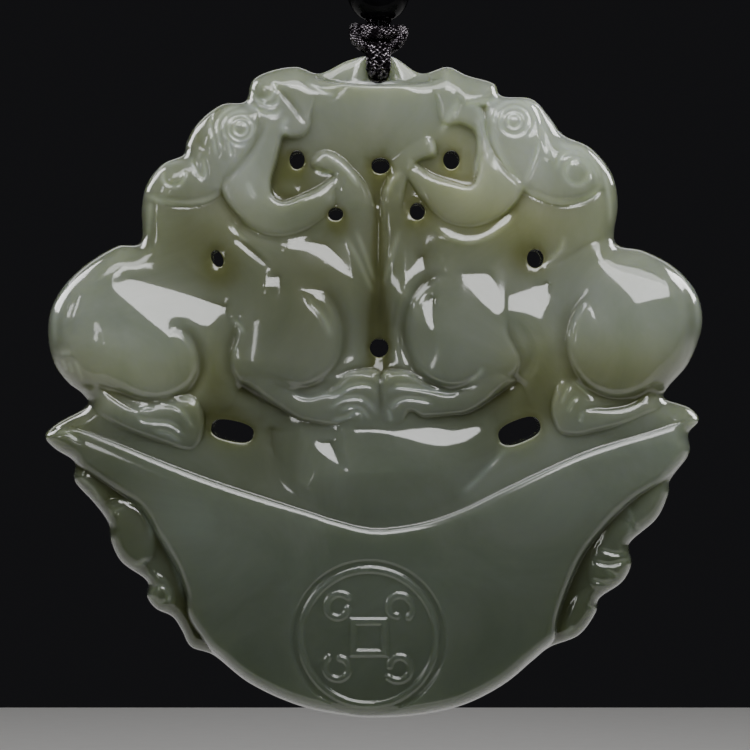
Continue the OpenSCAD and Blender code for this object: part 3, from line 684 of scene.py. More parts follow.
# lines cut into the masses: depth (a raised line where it is below 0), reach to the left and to the
# right of the way along the line, all in millimetres, then the line
strokeRows = {
    "leftHaunch": [
        (0.5, 0.7, 0.45, [(-30.6, 57.4), (-29.8, 58.6), (-28.4, 58.4), (-27.1, 57.2), (-26.1, 55),
                          (-26, 52.4), (-27.1, 50.1), (-29.2, 48.5), (-32.4, 47.6), (-36, 48.1),
                          (-39.2, 49.8), (-41.6, 51.8)]),
        (0.14, 0.3, 0.3, [(-45.6, 66), (-47.2, 63.4), (-48.2, 60), (-48.2, 56.4)]),
        (0.1, 0.35, 0.35, [(-44.6, 63.4), (-45.8, 60.6), (-46, 57.2)]),
        (0.11, 0.2, 0.2, [(-47.2, 54.9), (-45.6, 55)]),
        (0.11, 0.2, 0.2, [(-47, 54), (-46.4, 52.4)]),
        (0.11, 0.2, 0.2, [(-46, 53.6), (-45.4, 52)]),
        (0.125, 0.2, 0.2, [(-45.1, 53.8), (-44.5, 52.4), (-44, 50.8)]),
    ],
    "rightHaunch": [
        (0.55, 0.45, 1.3, [(33.2, 61.4), (32.3, 62.8), (30.9, 61.7), (29.8, 59.8), (29.3, 57), (29.6, 54.4),
                           (30.9, 51.6), (33, 49.4), (36, 48.1), (39.3, 48.2), (42.2, 49.6), (44.8, 52.6)]),
        (0.175, 0.4, 0.4, [(45.2, 50.4), (47.6, 54.2), (48.6, 58.6), (48.2, 62.6), (46.4, 66.6), (44.4, 69)]),
        (0.11, 0.25, 0.25, [(46.6, 68), (48.6, 65), (49.6, 61.6), (49.6, 58)]),
    ],
    "leftShoulder": [
        (0.45, 1.1, 0.45, [(-8.9, 64.3), (-6.7, 63.8), (-5.1, 61.6), (-4.3, 59), (-4.3, 56), (-5, 53.6),
                           (-6.6, 51.6), (-9, 50.1), (-11.4, 49.5), (-13.4, 50)]),
        (0.175, 0.3, 0.25, [(-10.1, 63.7), (-9, 62.2), (-7.6, 60.7), (-6.7, 59), (-6.3, 57.4)]),
        (0.35, 0.3, 0.9, [(-20.2, 60), (-20.8, 57.6), (-21.5, 55.2), (-21.5, 52.8), (-20.4, 50.6),
                          (-18.6, 49.2), (-16.4, 47.8)]),
        (0.125, 0.25, 0.25, [(-21, 60.2), (-20, 59.2), (-19.4, 58.2)]),
    ],
    "rightShoulder": [
        (0.4, 0.45, 0.6, [(11.6, 66), (10, 66.6), (7.5, 65.2), (5.7, 62.6), (4.9, 59.4), (5.1, 56), (6.3, 53),
                          (8.5, 50.9), (11.6, 49.6), (14.8, 50.2), (17, 51.8)]),
        (0.35, 0.9, 0.3, [(20.7, 60.4), (20.9, 58), (21.9, 56), (22.7, 54.2), (22.1, 52.2), (20.2, 50),
                          (17.8, 48.2)]),
        (0.15, 0.4, 0.4, [(21.8, 60), (23.5, 57.6), (24.3, 55.2), (23.8, 53), (22.6, 51.4)]),
        (0.1, 0.2, 0.25, [(14.8, 50.6), (16, 51.6), (16.9, 52.9)]),
    ],
    "leftToes": [
        (0.25, 0.5, 0.18, [(-7.4, 48.9), (-5.6, 50.2), (-3.6, 51.9), (-2, 52.2), (-0.3, 51.9), (0.8, 51.2)]),
        (0.21, 0.32, 0.18, [(-12.9, 49.6), (-11, 48.5), (-9.4, 48.2), (-7, 48.7), (-5.4, 48.7), (-3.5, 49.8),
                            (-1.5, 50.2), (0, 49.9), (0.7, 49)]),
        (0.175, 0.28, 0.18, [(-6.6, 46.6), (-5.2, 47.6), (-4, 48.1), (-1.8, 48.2), (-0.2, 47.2),
                             (0.7, 45.8)]),
        (0.125, 0.2, 0.18, [(-5, 46.3), (-3.4, 46.9), (-1.8, 46.7), (-0.8, 45.8), (-0.4, 45)]),
        (0.15, 0.22, 0.18, [(-6.2, 44.9), (-4, 45.3), (-2.6, 46.1), (-1.6, 45.9), (-1.7, 45)]),
    ],
    "rightToes": [
        (0.25, 0.5, 0.18, [(2, 51.2), (3.2, 51.9), (5.2, 52.1), (7, 51.2), (9, 50.1), (10.9, 49.7)]),
        (0.21, 0.32, 0.18, [(2.3, 49.2), (4, 49.9), (6.5, 49.7), (9, 49.3), (11.5, 48.9), (13.6, 49.2)]),
        (0.175, 0.28, 0.18, [(2.6, 46.4), (3.4, 47.4), (5, 48.1), (7, 48), (9.4, 47.5)]),
        (0.125, 0.2, 0.2, [(2.5, 46.6), (2.8, 45.6), (2.9, 44.8)]),
    ],
    "cleft": [
        (0.12, 0.4, 0.4, [(1.35, 54), (1.35, 51), (1.35, 48), (1.35, 45.4)]),
        (0.5, 1.2, 1.2, [(1.1, 64), (1.1, 58), (1.1, 52.6)]),
        (0.3, 0.6, 0.6, [(1, 81), (0.9, 74), (0.9, 68), (1.1, 60)]),
        (0.09, 0.25, 0.25, [(-4, 72.6), (-1.8, 68.6), (0.2, 64)]),
        (0.075, 0.25, 0.25, [(-2.4, 73.6), (-0.9, 69.6), (0.5, 65.4)]),
        (0.09, 0.25, 0.25, [(4.2, 73.6), (2.9, 69.4), (1.7, 65)]),
    ],
    "leftFootToes": [
        (0.2, 0.4, 0.2, [(-42.2, 51), (-40.2, 49), (-37.6, 47.2), (-35.2, 46.2)]),
        (0.125, 0.2, 0.2, [(-35.4, 46.2), (-34.4, 46.7), (-33, 46.8)]),
        (0.19, 0.32, 0.18, [(-35.8, 46.2), (-34.8, 44.9), (-33, 44.6), (-30.6, 44.3), (-28.4, 42.7)]),
        (0.19, 0.32, 0.18, [(-31.9, 47.2), (-30, 47), (-28.4, 45.8), (-27, 43.8)]),
        (0.125, 0.25, 0.2, [(-29, 48.4), (-27.8, 48.2), (-26.8, 47.2)]),
        (0.125, 0.25, 0.2, [(-33, 43.4), (-30.8, 42.9), (-29, 41.6)]),
    ],
    "rightFootToes": [
        (0.19, 0.35, 0.18, [(31.8, 46.4), (34, 46.7), (36.2, 46.7), (39.2, 47.3), (42.4, 49)]),
        (0.15, 0.2, 0.2, [(30, 50.4), (29.3, 49), (28.6, 47.4)]),
        (0.15, 0.2, 0.2, [(31.2, 48.6), (30.2, 47.6), (29.6, 46.2)]),
        (0.15, 0.2, 0.2, [(31.9, 46.1), (31.5, 44.8)]),
        (0.14, 0.22, 0.2, [(30.4, 50.9), (31.8, 49.9), (33.4, 48.2)]),
    ],
    "leftHead": [
        (0.175, 0.45, 0.22, [(-15.6, 95.4), (-13.9, 94.2), (-12, 92.1), (-10, 89.3)]),
        (0.2, 0.3, 0.3, [(-19.8, 93.2), (-18, 92), (-16.6, 91.2), (-15, 90.9), (-13.6, 91.6)]),
        (0.15, 0.22, 0.22, [(-18.2, 94), (-17.2, 92.9), (-15.7, 92.2), (-14.4, 92.7), (-14, 94)]),
        (0.2, 0.4, 0.4, [(-17.4, 93), (-16.6, 91), (-16.8, 88.6), (-18, 86), (-20, 83.2), (-22, 81),
                         (-23, 79)]),
        (0.07, 0.6, 0.4, [(-23, 78), (-21, 74.9), (-18, 72.9), (-14.4, 71.9), (-10.8, 72.6), (-7.4, 74.6)]),
        (0.15, 0.25, 0.25, [(-8.6, 82.9), (-7.4, 82.2), (-6, 82.2)]),
        (-0.1, 0.28, 0.28, [(-7.2, 84.8), (-5.8, 84.1), (-4.2, 82.9), (-3.1, 81.7), (-1.9, 80)]),
        (0.14, 0.2, 0.2, [(-24.2, 91.6), (-24.5, 89.5), (-24.1, 87.5), (-23.5, 84.4)]),
        (0.14, 0.2, 0.2, [(-19.6, 92.5), (-22, 91.5), (-23.3, 89.7), (-23.3, 87.8), (-22.5, 85.2)]),
        (0.11, 0.2, 0.2, [(-22, 87), (-21.2, 84.5)]),
        (0.1, 0.35, 0.35, [(-26.6, 89.6), (-26.5, 87.5), (-25.5, 85)]),
        (0.16, 0.22, 0.22, [(-27.8, 84.6), (-27, 83), (-25.9, 81.4), (-25.4, 82), (-25.6, 84.4)]),
        (0.125, 0.22, 0.22, [(-34.9, 79.6), (-34.3, 81.2), (-32.6, 83), (-30.5, 83.6), (-28.4, 84)]),
        (0.15, 0.3, 0.3, [(-35, 79), (-33.4, 78.4), (-31.4, 77.8), (-28.4, 77.5), (-25.4, 77.9),
                          (-23.2, 79)]),
        (0.15, 0.22, 0.3, [(-33.6, 78), (-33.8, 75.4), (-34, 72.4)]),
        (0.15, 0.25, 0.25, [(-21.6, 74.6), (-20.2, 72.9), (-18.8, 71.9)]),
        (0.175, 0.25, 0.4, [(-21, 72.7), (-18.6, 70.7), (-15.6, 68.2)]),
        (0.09, 0.2, 0.2, [(-10, 95.6), (-7.8, 94.5), (-5.4, 93.7)]),
        (0.1, 0.3, 0.3, [(-13, 90.4), (-13.4, 89), (-13, 87.8)]),
        (0.075, 0.25, 0.25, [(-18.8, 80.6), (-18.4, 79.4), (-17.8, 78.4)]),
    ],
    "rightHead": [
        (0.2, 0.3, 0.3, [(19.8, 93.3), (18, 92.9), (16, 92.6), (14, 92.2)]),
        (0.175, 0.22, 0.3, [(15.6, 92.6), (16.6, 90.8), (17.2, 88.5), (17.9, 85.5), (19.2, 82.2)]),
        (0.125, 0.22, 0.22, [(16, 90.5), (16.3, 88), (16.3, 85), (15.7, 81.6)]),
        (0.125, 0.3, 0.3, [(13.2, 92.8), (11.4, 90), (10.4, 88.2)]),
        (-0.11, 0.28, 0.28, [(9.4, 73.8), (12.3, 72.2), (15, 71.8), (17.6, 72.5), (20, 74.1), (21.8, 75.9)]),
        (-0.1, 0.28, 0.28, [(4.2, 82.2), (3, 80.8), (2.2, 79)]),
        (-0.09, 0.25, 0.25, [(8.3, 86.9), (9.1, 86.4), (9.2, 85.2)]),
        (0.15, 0.22, 0.22, [(23.8, 93.2), (25.2, 91.6), (26, 89.4), (26.3, 87), (27, 84.4)]),
        (0.125, 0.22, 0.22, [(22.6, 93.4), (24.6, 92.2), (25.6, 90.2), (25.8, 88)]),
        (0.175, 0.25, 0.3, [(18.3, 89.4), (18.8, 87), (20.2, 83.8), (22.8, 80.2)]),
        (0.15, 0.22, 0.22, [(25.4, 87), (24.6, 84.2), (23.2, 80.6)]),
        (0.15, 0.25, 0.25, [(28.2, 86.6), (29.6, 86), (31.8, 85.6), (33.9, 83.4), (34.8, 81)]),
        (0.16, 0.22, 0.22, [(28, 82.4), (28.6, 84.3), (30.4, 85.2), (32.4, 84.4), (34, 82), (34.2, 80.2)]),
        (0.16, 0.3, 0.3, [(22.6, 80.2), (25, 78.7), (28.4, 77.7), (31.6, 77.9), (34.2, 79.3), (34.9, 81.4)]),
        (0.14, 0.25, 0.25, [(34.9, 82.8), (35.7, 80.4), (36.2, 77.4), (36.2, 74.2)]),
        (0.15, 0.25, 0.25, [(29.2, 72.4), (28.4, 70.4), (26, 68.2)]),
        (0.1, 0.4, 0.4, [(36.4, 72.8), (31.6, 70.6), (27.4, 68)]),
        (0.075, 0.2, 0.2, [(12.5, 91.6), (12.6, 90.2)]),
    ],
    "ball": [
        (0.07, 0.8, 0.7, [(-9, 34), (-12.4, 36.6), (-15, 40.2), (-16.2, 44.6)]),
        (0.07, 0.7, 0.8, [(12, 34.2), (15.6, 37.2), (18, 41), (18.4, 45)]),
    ],
    "ingot": [
        (0.15, 0.2, 0.2, [(-47.9, 43.1), (-46, 42.9), (-44, 41.7)]),
        (0.15, 0.25, 0.25, [(13.4, 34), (15.8, 36), (18, 38.3), (20.6, 40.8)]),
        (0.15, 0.3, 0.3, [(-33.6, 29.4), (-31.4, 26.2), (-29.6, 22.2), (-28.6, 18)]),
    ],
    "leftWaves": [
        (0.125, 0.2, 0.2, [(-39.8, 30), (-39.2, 31.3), (-37.4, 32)]),
        (0.125, 0.2, 0.2, [(-36.6, 23.2), (-35.4, 23.2), (-34.2, 24)]),
        (0.15, 0.3, 0.3, [(-38.6, 33), (-35.6, 32), (-33.8, 29.6), (-33.6, 26.6)]),
        (0.11, 0.2, 0.2, [(-44.6, 36.4), (-42.4, 34.4), (-41.4, 32)]),
    ],
    "rightWaves": [
        (0.175, 0.25, 0.25, [(38.8, 30.2), (39.9, 28.9), (41.4, 28.4)]),
        (0.15, 0.25, 0.25, [(39.2, 31.8), (39.6, 29.6), (39.2, 27.4)]),
        (0.175, 0.22, 0.22, [(33.6, 23.8), (36.2, 23.2), (39.6, 24.1)]),
        (0.15, 0.22, 0.22, [(33.4, 21), (35.2, 20.4), (36.4, 20.6)]),
        (0.15, 0.22, 0.22, [(35.6, 22.4), (37.6, 21.2)]),
        (0.15, 0.22, 0.22, [(34.6, 25.6), (36.8, 24.9), (38.8, 25)]),
        (0.125, 0.2, 0.2, [(32.8, 17.2), (33.8, 16.4), (34.4, 17.4)]),
        (0.125, 0.2, 0.2, [(29.6, 12.6), (30.6, 13.8)]),
    ],
}

# rings cut round a place: place, radius in millimetres, depth, width, start and end in degrees
ringRows = [
    (-19.9, 88.8, 0.6, 0.11, 0.16, 0, 360), (-19.9, 88.8, 1.12, 0.1, 0.16, 0, 360),
    (-19.9, 88.8, 1.6, 0.1, 0.2, 60, 300), (-30.1, 81.8, 1.05, 0.14, 0.2, 150, 390),
    (21.6, 89.9, 0.62, 0.11, 0.16, 0, 360), (21.6, 89.9, 1.3, 0.12, 0.2, 0, 360),
    (21.6, 89.9, 1.9, 0.1, 0.22, -60, 200), (31.2, 82.2, 1.15, 0.1, 0.25, 0, 360),
    (-32.2, 18.7, 0.8, 0.12, 0.18, 0, 360), (-16.5, 94.9, 1.15, 0.1, 0.2, 170, 400),
]

# painted shade, darker and olive: place, reach across and up in millimetres, strength
paintedShadeRows = [
    (-12, 82.4, 1.7, 1.9, 1.0), (1.3, 82, 1.6, 1.8, 0.6), (12.4, 84.6, 1.5, 1.9, 0.45),
    (-5.2, 74.6, 1.1, 1.2, 0.6), (6.9, 76.3, 1.2, 1.2, 0.5), (-23, 67.4, 1.9, 1.9, 0.6),
    (23.4, 69, 2, 2, 0.6), (1.1, 57, 1.8, 3.6, 0.6), (-22, 44.4, 3.2, 2, 0.55), (23.4, 46.4, 3.2, 3, 0.55),
    (-24, 54, 1.6, 4, 0.35), (26, 54, 1.6, 4, 0.2), (-26, 73, 4, 3, 0.22), (27, 73, 4, 3, 0.3),
    (-42, 33, 3.5, 3.5, 0.36), (-37, 25, 3, 4, 0.36), (-31.5, 16, 2.5, 4, 0.36), (42, 33, 3.5, 3.5, 0.25),
    (37, 23, 3, 4, 0.3), (32, 15, 2.5, 4, 0.3), (-12, 58, 5, 5, 0.3), (-24, 48, 2.5, 3, 0.3),
    (-8, 67, 5, 4, 0.36), (-37.5, 31, 3.5, 3.5, 0.2), (1, 68, 1.3, 7, 0.45), (-26.5, 89, 4, 4, 0.3),
    (6, 76, 3, 3, 0.3), (-6, 75, 3, 2.5, 0.3), (0, 67, 24, 6, 0.25), (-28, 68, 7, 5, 0.3),
    (20, 74.5, 6, 3.5, 0.35), (-25, 74, 6, 4, 0.2), (8, 74, 5, 4, 0.3), (31.5, 52, 4, 3, 0.3),
    (40, 51.5, 4, 2, 0.25), (0, 82, 5, 3, 0.2), (-15, 40, 4, 5, 0.35), (-46, 44, 4, 5, 0.4),
    (-21, 37, 5, 4, 0.2), (-12, 97.5, 8, 2.5, 0.35), (8, 98, 8, 2, 0.3), (-31, 14, 4, 4, 0.15),
    (34, 16, 4, 5, 0.1), (17, 44, 4, 4, 0.25),
]

# warm places, where the light comes through yellow, in the same columns
warmRows = [
    (38, 52, 8, 3.5, 0.6), (24, 51, 3, 4, 0.45), (20, 74.5, 5, 3, 0.5), (-24, 51, 3, 4, 0.3),
    (-44, 52, 5, 3.5, 0.4), (12.5, 87, 2, 2.2, 0.5), (-32, 51, 6, 2.5, 0.4), (0, 86, 6, 3, 0.25),
    (-20, 75, 4, 3, 0.2), (18, 82, 4, 4, 0.25), (33, 75, 5, 4, 0.3), (-31, 75, 4, 4, 0.15),
    (10, 80, 4, 3, 0.2),
]

# pale clouds in the stone, in the same columns
# painted light: patches made paler where more light falls or glows through, in the same columns
paintedLightRows = [
    (-38, 59, 8, 7, 0.55), (41, 60, 8, 7, 0.62), (-34, 51, 5, 3, 0.35), (28, 88, 5, 5, 0.25),
    (22, 75, 6, 4, 0.3), (14, 58, 5, 5, 0.15), (0, 93, 8, 3, 0.1), (-18, 80, 3, 5, 0.3), (16, 79, 5, 3, 0.25),
    (28, 45, 5, 3, 0.3), (-27, 31, 8, 4, 0.4), (30, 34, 8, 4, 0.3), (4, 37, 9, 3, 0.15), (14, 91, 6, 4, 0.3),
    (27, 84, 7, 5, 0.3), (2, 22, 22, 7, 0.24), (41, 38, 4, 4, 0.4), (46, 41, 3, 4, 0.4),
    (-20, 83, 4, 5, 0.15), (24, 58, 4, 3, 0.1),
]

# the medallion on the ingot: a plain old coin's pattern, with a square and four scrolls
medallion = {
    "middle": (-0.5, 12.4),
    "radius": 7.4,
    "sink": 0.16,           # how deep the ground lies, and how far the pattern stands up from it
    "stand": 0.15,
    "paleLinesAndLight": 0.35,       # of the standing pattern
    # size as a share of the radius, and half-width of the line
    "ring": (0.86, 0.28),
    "square": (0.2, 0.3),
    "scroll": (0.17, 0.26),
    "scrollOut": 0.54,      # distance of the scrolls from the middle, as a share of the radius
    "scrollCurl": 0.22,     # how much a scroll tightens over half a turn
}

cell = stonePlan["cellMm"]
gridX = np.arange(*stonePlan["gridAcross"], cell)
gridZ = np.arange(*stonePlan["gridUp"], cell)


def toMm(points):
    p = np.asarray(points, float)
    return np.stack([(p[..., 0] - stonePlan["boreAt"][0]) * stonePlan["acrossMm"],
                     (p[..., 1] - stonePlan["boreAt"][1]) * stonePlan["upMm"]], -1)


def insideOf(loop):
    # cells inside a closed line, by its crossings along each row
    flips = np.zeros((len(gridZ), len(gridX) + 1), bool)
    for a, b in zip(loop, np.roll(loop, -1, 0)):
        j0, j1 = np.searchsorted(gridZ, sorted((a[1], b[1])))
        if j1 > j0:
            cross = a[0] + (gridZ[j0:j1] - a[1]) * (b[0] - a[0]) / (b[1] - a[1])
            flips[np.arange(j0, j1), np.searchsorted(gridX, cross)] ^= True
    return np.logical_xor.accumulate(flips, axis=1)[:, :-1]


def cellsBeside(line, reach):
    # for each stretch of a line: its number, the window of cells within reach, how far along the stretch
    # each lies, how far off it, and on which side (above 0 on the left)
    for k, (a, b) in enumerate(zip(line[:-1], line[1:])):
        i0, i1 = np.searchsorted(gridX, (min(a[0], b[0]) - reach, max(a[0], b[0]) + reach))
        j0, j1 = np.searchsorted(gridZ, (min(a[1], b[1]) - reach, max(a[1], b[1]) + reach))
        if i1 > i0 and j1 > j0:
            px, pz = gridX[None, i0:i1] - a[0], gridZ[j0:j1, None] - a[1]
            d = b - a
            t = np.clip((px * d[0] + pz * d[1]) / max(1e-9, d @ d), 0, 1)
            away = np.hypot(px - t * d[0], pz - t * d[1])
            yield k, (slice(j0, j1), slice(i0, i1)), t, away, d[0] * pz - d[1] * px


def distanceTo(line, reach):
    # distance of each cell to a line, up to reach
    near = np.full((len(gridZ), len(gridX)), float(reach))
    for k, window, t, away, side in cellsBeside(line, reach):
        near[window] = np.minimum(near[window], away)
    return near


def closedLine(loop):
    return np.vstack([loop, loop[:1]])


def boxMean(a, n):
    # mean over the cells up to n away, across and up
    for axis in (0, 1):
        pad = [(0, 0), (0, 0)]
        pad[axis] = (n + 1, n)
        total = np.cumsum(np.pad(a, pad, mode="edge"), axis=axis)
        after, before = [slice(None)] * 2, [slice(None)] * 2
        after[axis], before[axis] = slice(2 * n + 1, None), slice(0, -(2 * n + 1))
        a = (total[tuple(after)] - total[tuple(before)]) / (2 * n + 1)
    return a


def soften(a, radius):
    n = max(1, int(round(radius / cell)))
    for k in range(3):
        a = boxMean(a, n)
    return a


def pillow(mask, near, stride=3):
    # a soap film blown up inside a closed line: 0 at the line, 1 at its highest
    rows, cols = np.where(mask.any(1))[0], np.where(mask.any(0))[0]
    j0, j1 = max(0, rows[0] - 9), min(len(gridZ), rows[-1] + 10)
    i0, i1 = max(0, cols[0] - 9), min(len(gridX), cols[-1] + 10)
    m, d = mask[j0:j1:stride, i0:i1:stride], near[j0:j1:stride, i0:i1:stride]
    film = np.zeros(m.shape)
    size = max(m.shape)
    push = 2 / (1 + math.sin(math.pi / size))
    red = (np.add.outer(np.arange(m.shape[0]), np.arange(m.shape[1])) % 2).astype(bool)
    parts = [m & red, m & ~red]
    for part in parts:
        part[0] = part[-1] = False
        part[:, 0] = part[:, -1] = False
    # passes over the two colours of a chequerboard in turn
    for k in range(int(1.6 * size) + 20):
        for part in parts:
            new = np.zeros(m.shape)
            new[1:-1, 1:-1] = (film[:-2, 1:-1] + film[2:, 1:-1] + film[1:-1, :-2] + film[1:-1, 2:]
                               + (stride * cell) ** 2) / 4
            film = np.where(part, film + push * (new - film), film)
    # near the line the film is a slope times the exact distance, so that it follows the line
    good = m & (d > 0.55)
    slope = np.where(good, film / np.maximum(d, 0.05), 0)
    known = good.astype(float)
    for k in range(6):
        total, weight = np.zeros(m.shape), np.zeros(m.shape)
        for dj in (-1, 0, 1):
            for di in (-1, 0, 1):
                total += np.roll(np.roll(slope * known, dj, 0), di, 1)
                weight += np.roll(np.roll(known, dj, 0), di, 1)
        fill = (known == 0) & (weight > 0)
        slope = np.where(fill, total / np.maximum(weight, 1e-9), slope)
        known = np.where(fill, 1.0, known)
    fj = np.minimum(np.arange(j1 - j0) / stride, m.shape[0] - 1.001)
    fi = np.minimum(np.arange(i1 - i0) / stride, m.shape[1] - 1.001)
    a, b = fj.astype(int), fi.astype(int)
    tj, ti = (fj - a)[:, None], (fi - b)[None, :]

    def fine(f):
        # the coarse field at every cell
        return ((f[a][:, b] * (1 - ti) + f[a][:, b + 1] * ti) * (1 - tj)
                + (f[a + 1][:, b] * (1 - ti) + f[a + 1][:, b + 1] * ti) * tj)

    dist = near[j0:j1, i0:i1]
    mix = np.clip((dist - 0.7) / 0.6, 0, 1)
    out = fine(slope) * dist * (1 - mix) + fine(film) * mix
    full = np.zeros(mask.shape)
    full[j0:j1, i0:i1] = np.where(mask[j0:j1, i0:i1], np.maximum(out, 0), 0)
    return full / full.max()


def softMax(a, b, fillet):
    # the higher of two, with a round seam
    close = np.maximum(fillet - np.abs(a - b), 0) / fillet
    return np.maximum(a, b) + close * close * fillet / 4


def roundOff(d, radius):
    # quarter circle: 0 at the edge, 1 from radius on
    return np.sqrt(np.clip(1 - (1 - np.clip(d / radius, 0, 1)) ** 2, 0, 1))


def sample(field, places):
    # value of a grid field at any place, in millimetres
    fi = np.clip((places[:, 0] - gridX[0]) / cell, 0, len(gridX) - 1.001)
    fj = np.clip((places[:, 1] - gridZ[0]) / cell, 0, len(gridZ) - 1.001)
    i, j = fi.astype(int), fj.astype(int)
    ti, tj = fi - i, fj - j
    return ((field[j, i] * (1 - ti) + field[j, i + 1] * ti) * (1 - tj)
            + (field[j + 1, i] * (1 - ti) + field[j + 1, i + 1] * ti) * tj)


stoneOutline = toMm(smoothLoop(sum(outlineRows.values(), []), 8))
stoneMask = insideOf(stoneOutline)
stoneEdge = distanceTo(closedLine(stoneOutline), 3.0)


holeTurn = np.linspace(0, 2 * math.pi, meshPlan["holeSteps"], endpoint=False)


def holeLoop(u, v, halfU, halfV, tilt):
    # an oval with straight flanks where it is long
    power = 1.0 if halfU < 2 else 0.75
    c, s, hundredth = np.cos(holeTurn), np.sin(holeTurn), stonePlan["acrossMm"]
    x = halfU * hundredth * np.sign(c) * np.abs(c) ** power
    z = halfV * hundredth * np.sign(s) * np.abs(s) ** power
    a = math.radians(tilt)
    turned = [x * math.cos(a) - z * math.sin(a), x * math.sin(a) + z * math.cos(a)]
    return toMm((u, v)) + np.stack(turned, 1)


boreLoop = cordLook["boreWide"] / 2 * np.stack([np.cos(holeTurn), np.sin(holeTurn)], 1)
holeLoops = [holeLoop(*row) for row in roundHoles] + [boreLoop]

# the boat-shaped ingot: heights in millimetres over the middle plane, and the lines round its face
ingotLook = {
    "crown": 5.75,      # height at its middle
    "tipFall": 1.9,     # how much lower its tips are
    "bellyFall": 0.03,  # how much lower its foot is, as a share
    "flank": 3.6,       # height at its sides
    "flankRound": 1.0,
    "lip": 0.4,         # how far the face stands back just under its ridge
    "lipRound": 1.3,
    "apronFall": 0.13,  # slope above the ridge
    "ridge": [(-50.5, 43), (-47, 43.8), (-44.9, 43.6), (-38.7, 41.4), (-31.4, 38.5), (-24.1, 35.8),
              (-16.7, 33.4), (-9.4, 31.1), (-5.7, 29.9), (0.5, 28.6), (7.8, 29.5), (14, 31.6), (20, 34.5),
              (30.5, 39.3), (37.1, 41.6), (42.6, 43.2), (48.5, 45), (51, 45.6)],
    "left": [(-50.5, 43), (-49.2, 40.6), (-45.9, 39), (-39.4, 34.6), (-35.1, 31.6), (-32.8, 27.6),
             (-29.9, 22.9), (-28.4, 19), (-27.8, 15.3), (-25.5, 11.7), (-23, 8)],
    "right": [(51, 45.6), (50, 43), (48, 39.4), (45.6, 36.7), (39, 32.3), (33.4, 26.3), (30.5, 21.1),
              (28.4, 15.3), (27.6, 11.7), (24, 7.6)],
}


def ingotHeight():
    # a smooth face under a crisp ridge, and a slope above the ridge
    look = ingotLook
    ridge, left, right = (toMm(smoothLine(look[name], 8)) for name in ("ridge", "left", "right"))
    loop = np.vstack([ridge, right[1:], toMm([(20, -3), (-20, -3)]), left[::-1][:-1]])
    inside = insideOf(loop)
    u = gridX[None, :] / stonePlan["acrossMm"] + stonePlan["boreAt"][0]
    v = gridZ[:, None] / stonePlan["upMm"] + stonePlan["boreAt"][1]
    fromRidge = distanceTo(ridge, 10)
    fromSide = np.minimum(distanceTo(left, 4), distanceTo(right, 4))
    ridgeZ = np.interp(gridX, ridge[:, 0], ridge[:, 1])[None, :]
    edgeV = ridgeZ / stonePlan["upMm"] + stonePlan["boreAt"][1]
    below = np.clip(edgeV - v, 0, 40)      # under the ridge, in hundredths
    crown = look["crown"] - look["tipFall"] * np.clip(np.abs(u) / 50, 0, 1) ** 2
    face = crown * (1 - look["bellyFall"] * (below / 28) ** 2)
    face = look["flank"] + (face - look["flank"]) * roundOff(fromSide, look["flankRound"])
    underRidge = (1 - roundOff(fromRidge, look["lipRound"])) * (fromRidge < look["lipRound"])
    face = face - look["lip"] * underRidge
    apron = crown - look["lip"] - look["apronFall"] * fromRidge
    # far below everything where there is no ingot
    return np.where(inside, face, np.where((v > edgeV - 1) & (fromRidge < 9.9), apron, -9.0))


def sheetHeight(heights, mask):
    # a thin bent sheet through the given heights, worked out inside the mask
    if len(heights) < 4:
        return np.full(mask.shape, np.mean([row[2] for row in heights]))      # too few for a bend
    spots = toMm([row[:2] for row in heights])
    n = len(spots)

    def bend(away):
        return away * np.log(np.maximum(away, 1e-9))      # away is a squared distance

    flat = np.column_stack([np.ones(n), spots])
    whole = np.zeros((n + 3, n + 3))
    whole[:n, :n] = bend(((spots[:, None] - spots[None]) ** 2).sum(2)) + 0.6 * np.eye(n)
    whole[:n, n:] = flat
    whole[n:, :n] = flat.T
    weight = np.linalg.solve(whole, np.concatenate([[row[2] for row in heights], np.zeros(3)]))
    j, i = np.nonzero(mask)
    x, z = gridX[i], gridZ[j]
    value = weight[n] + weight[n + 1] * x + weight[n + 2] * z
    for (a, b), w in zip(spots, weight):
        value = value + w * bend((x - a) ** 2 + (z - b) ** 2)
    given = [row[2] for row in heights]
    sheet = np.zeros(mask.shape)
    sheet[j, i] = np.clip(value, min(given) - 0.3, max(given) + 0.3)
    return sheet


def strokeAt(line, left, right):
    # 1 along a line and 0 away from it, with a reach of its own on either side and faded ends
    fade = 0.25      # share of the line over which each end fades
    line = evenly(line, 0.2)
    cut = np.zeros((len(gridZ), len(gridX)))
    places = np.linspace(0, 1, len(line))
    for k, window, t, away, side in cellsBeside(line, 2.2 * max(left, right)):
        s = places[k] + t * (places[k + 1] - places[k])
        ends = np.sin(np.clip(np.minimum(s, 1 - s) / fade, 0, 1) * math.pi / 2)
        value = np.exp(-(away / np.where(side > 0, left, right)) ** 2) * ends
        cut[window] = np.maximum(cut[window], value)
    return cut


def ringAt(u, v, radius, width, start, end):
    # 1 along a ring or a part of one and 0 away from it; a part's ends fade
    x, z = toMm((u, v))
    px, pz = gridX[None, :] - x, gridZ[:, None] - z
    turn = (np.degrees(np.arctan2(pz, px)) - start) % 360
    span = end - start
    ends = 1.0 if span >= 360 else np.clip(np.minimum(turn, span - turn) / 25, 0, 1)
    return np.exp(-((np.hypot(px, pz) - radius) / width) ** 2) * ends


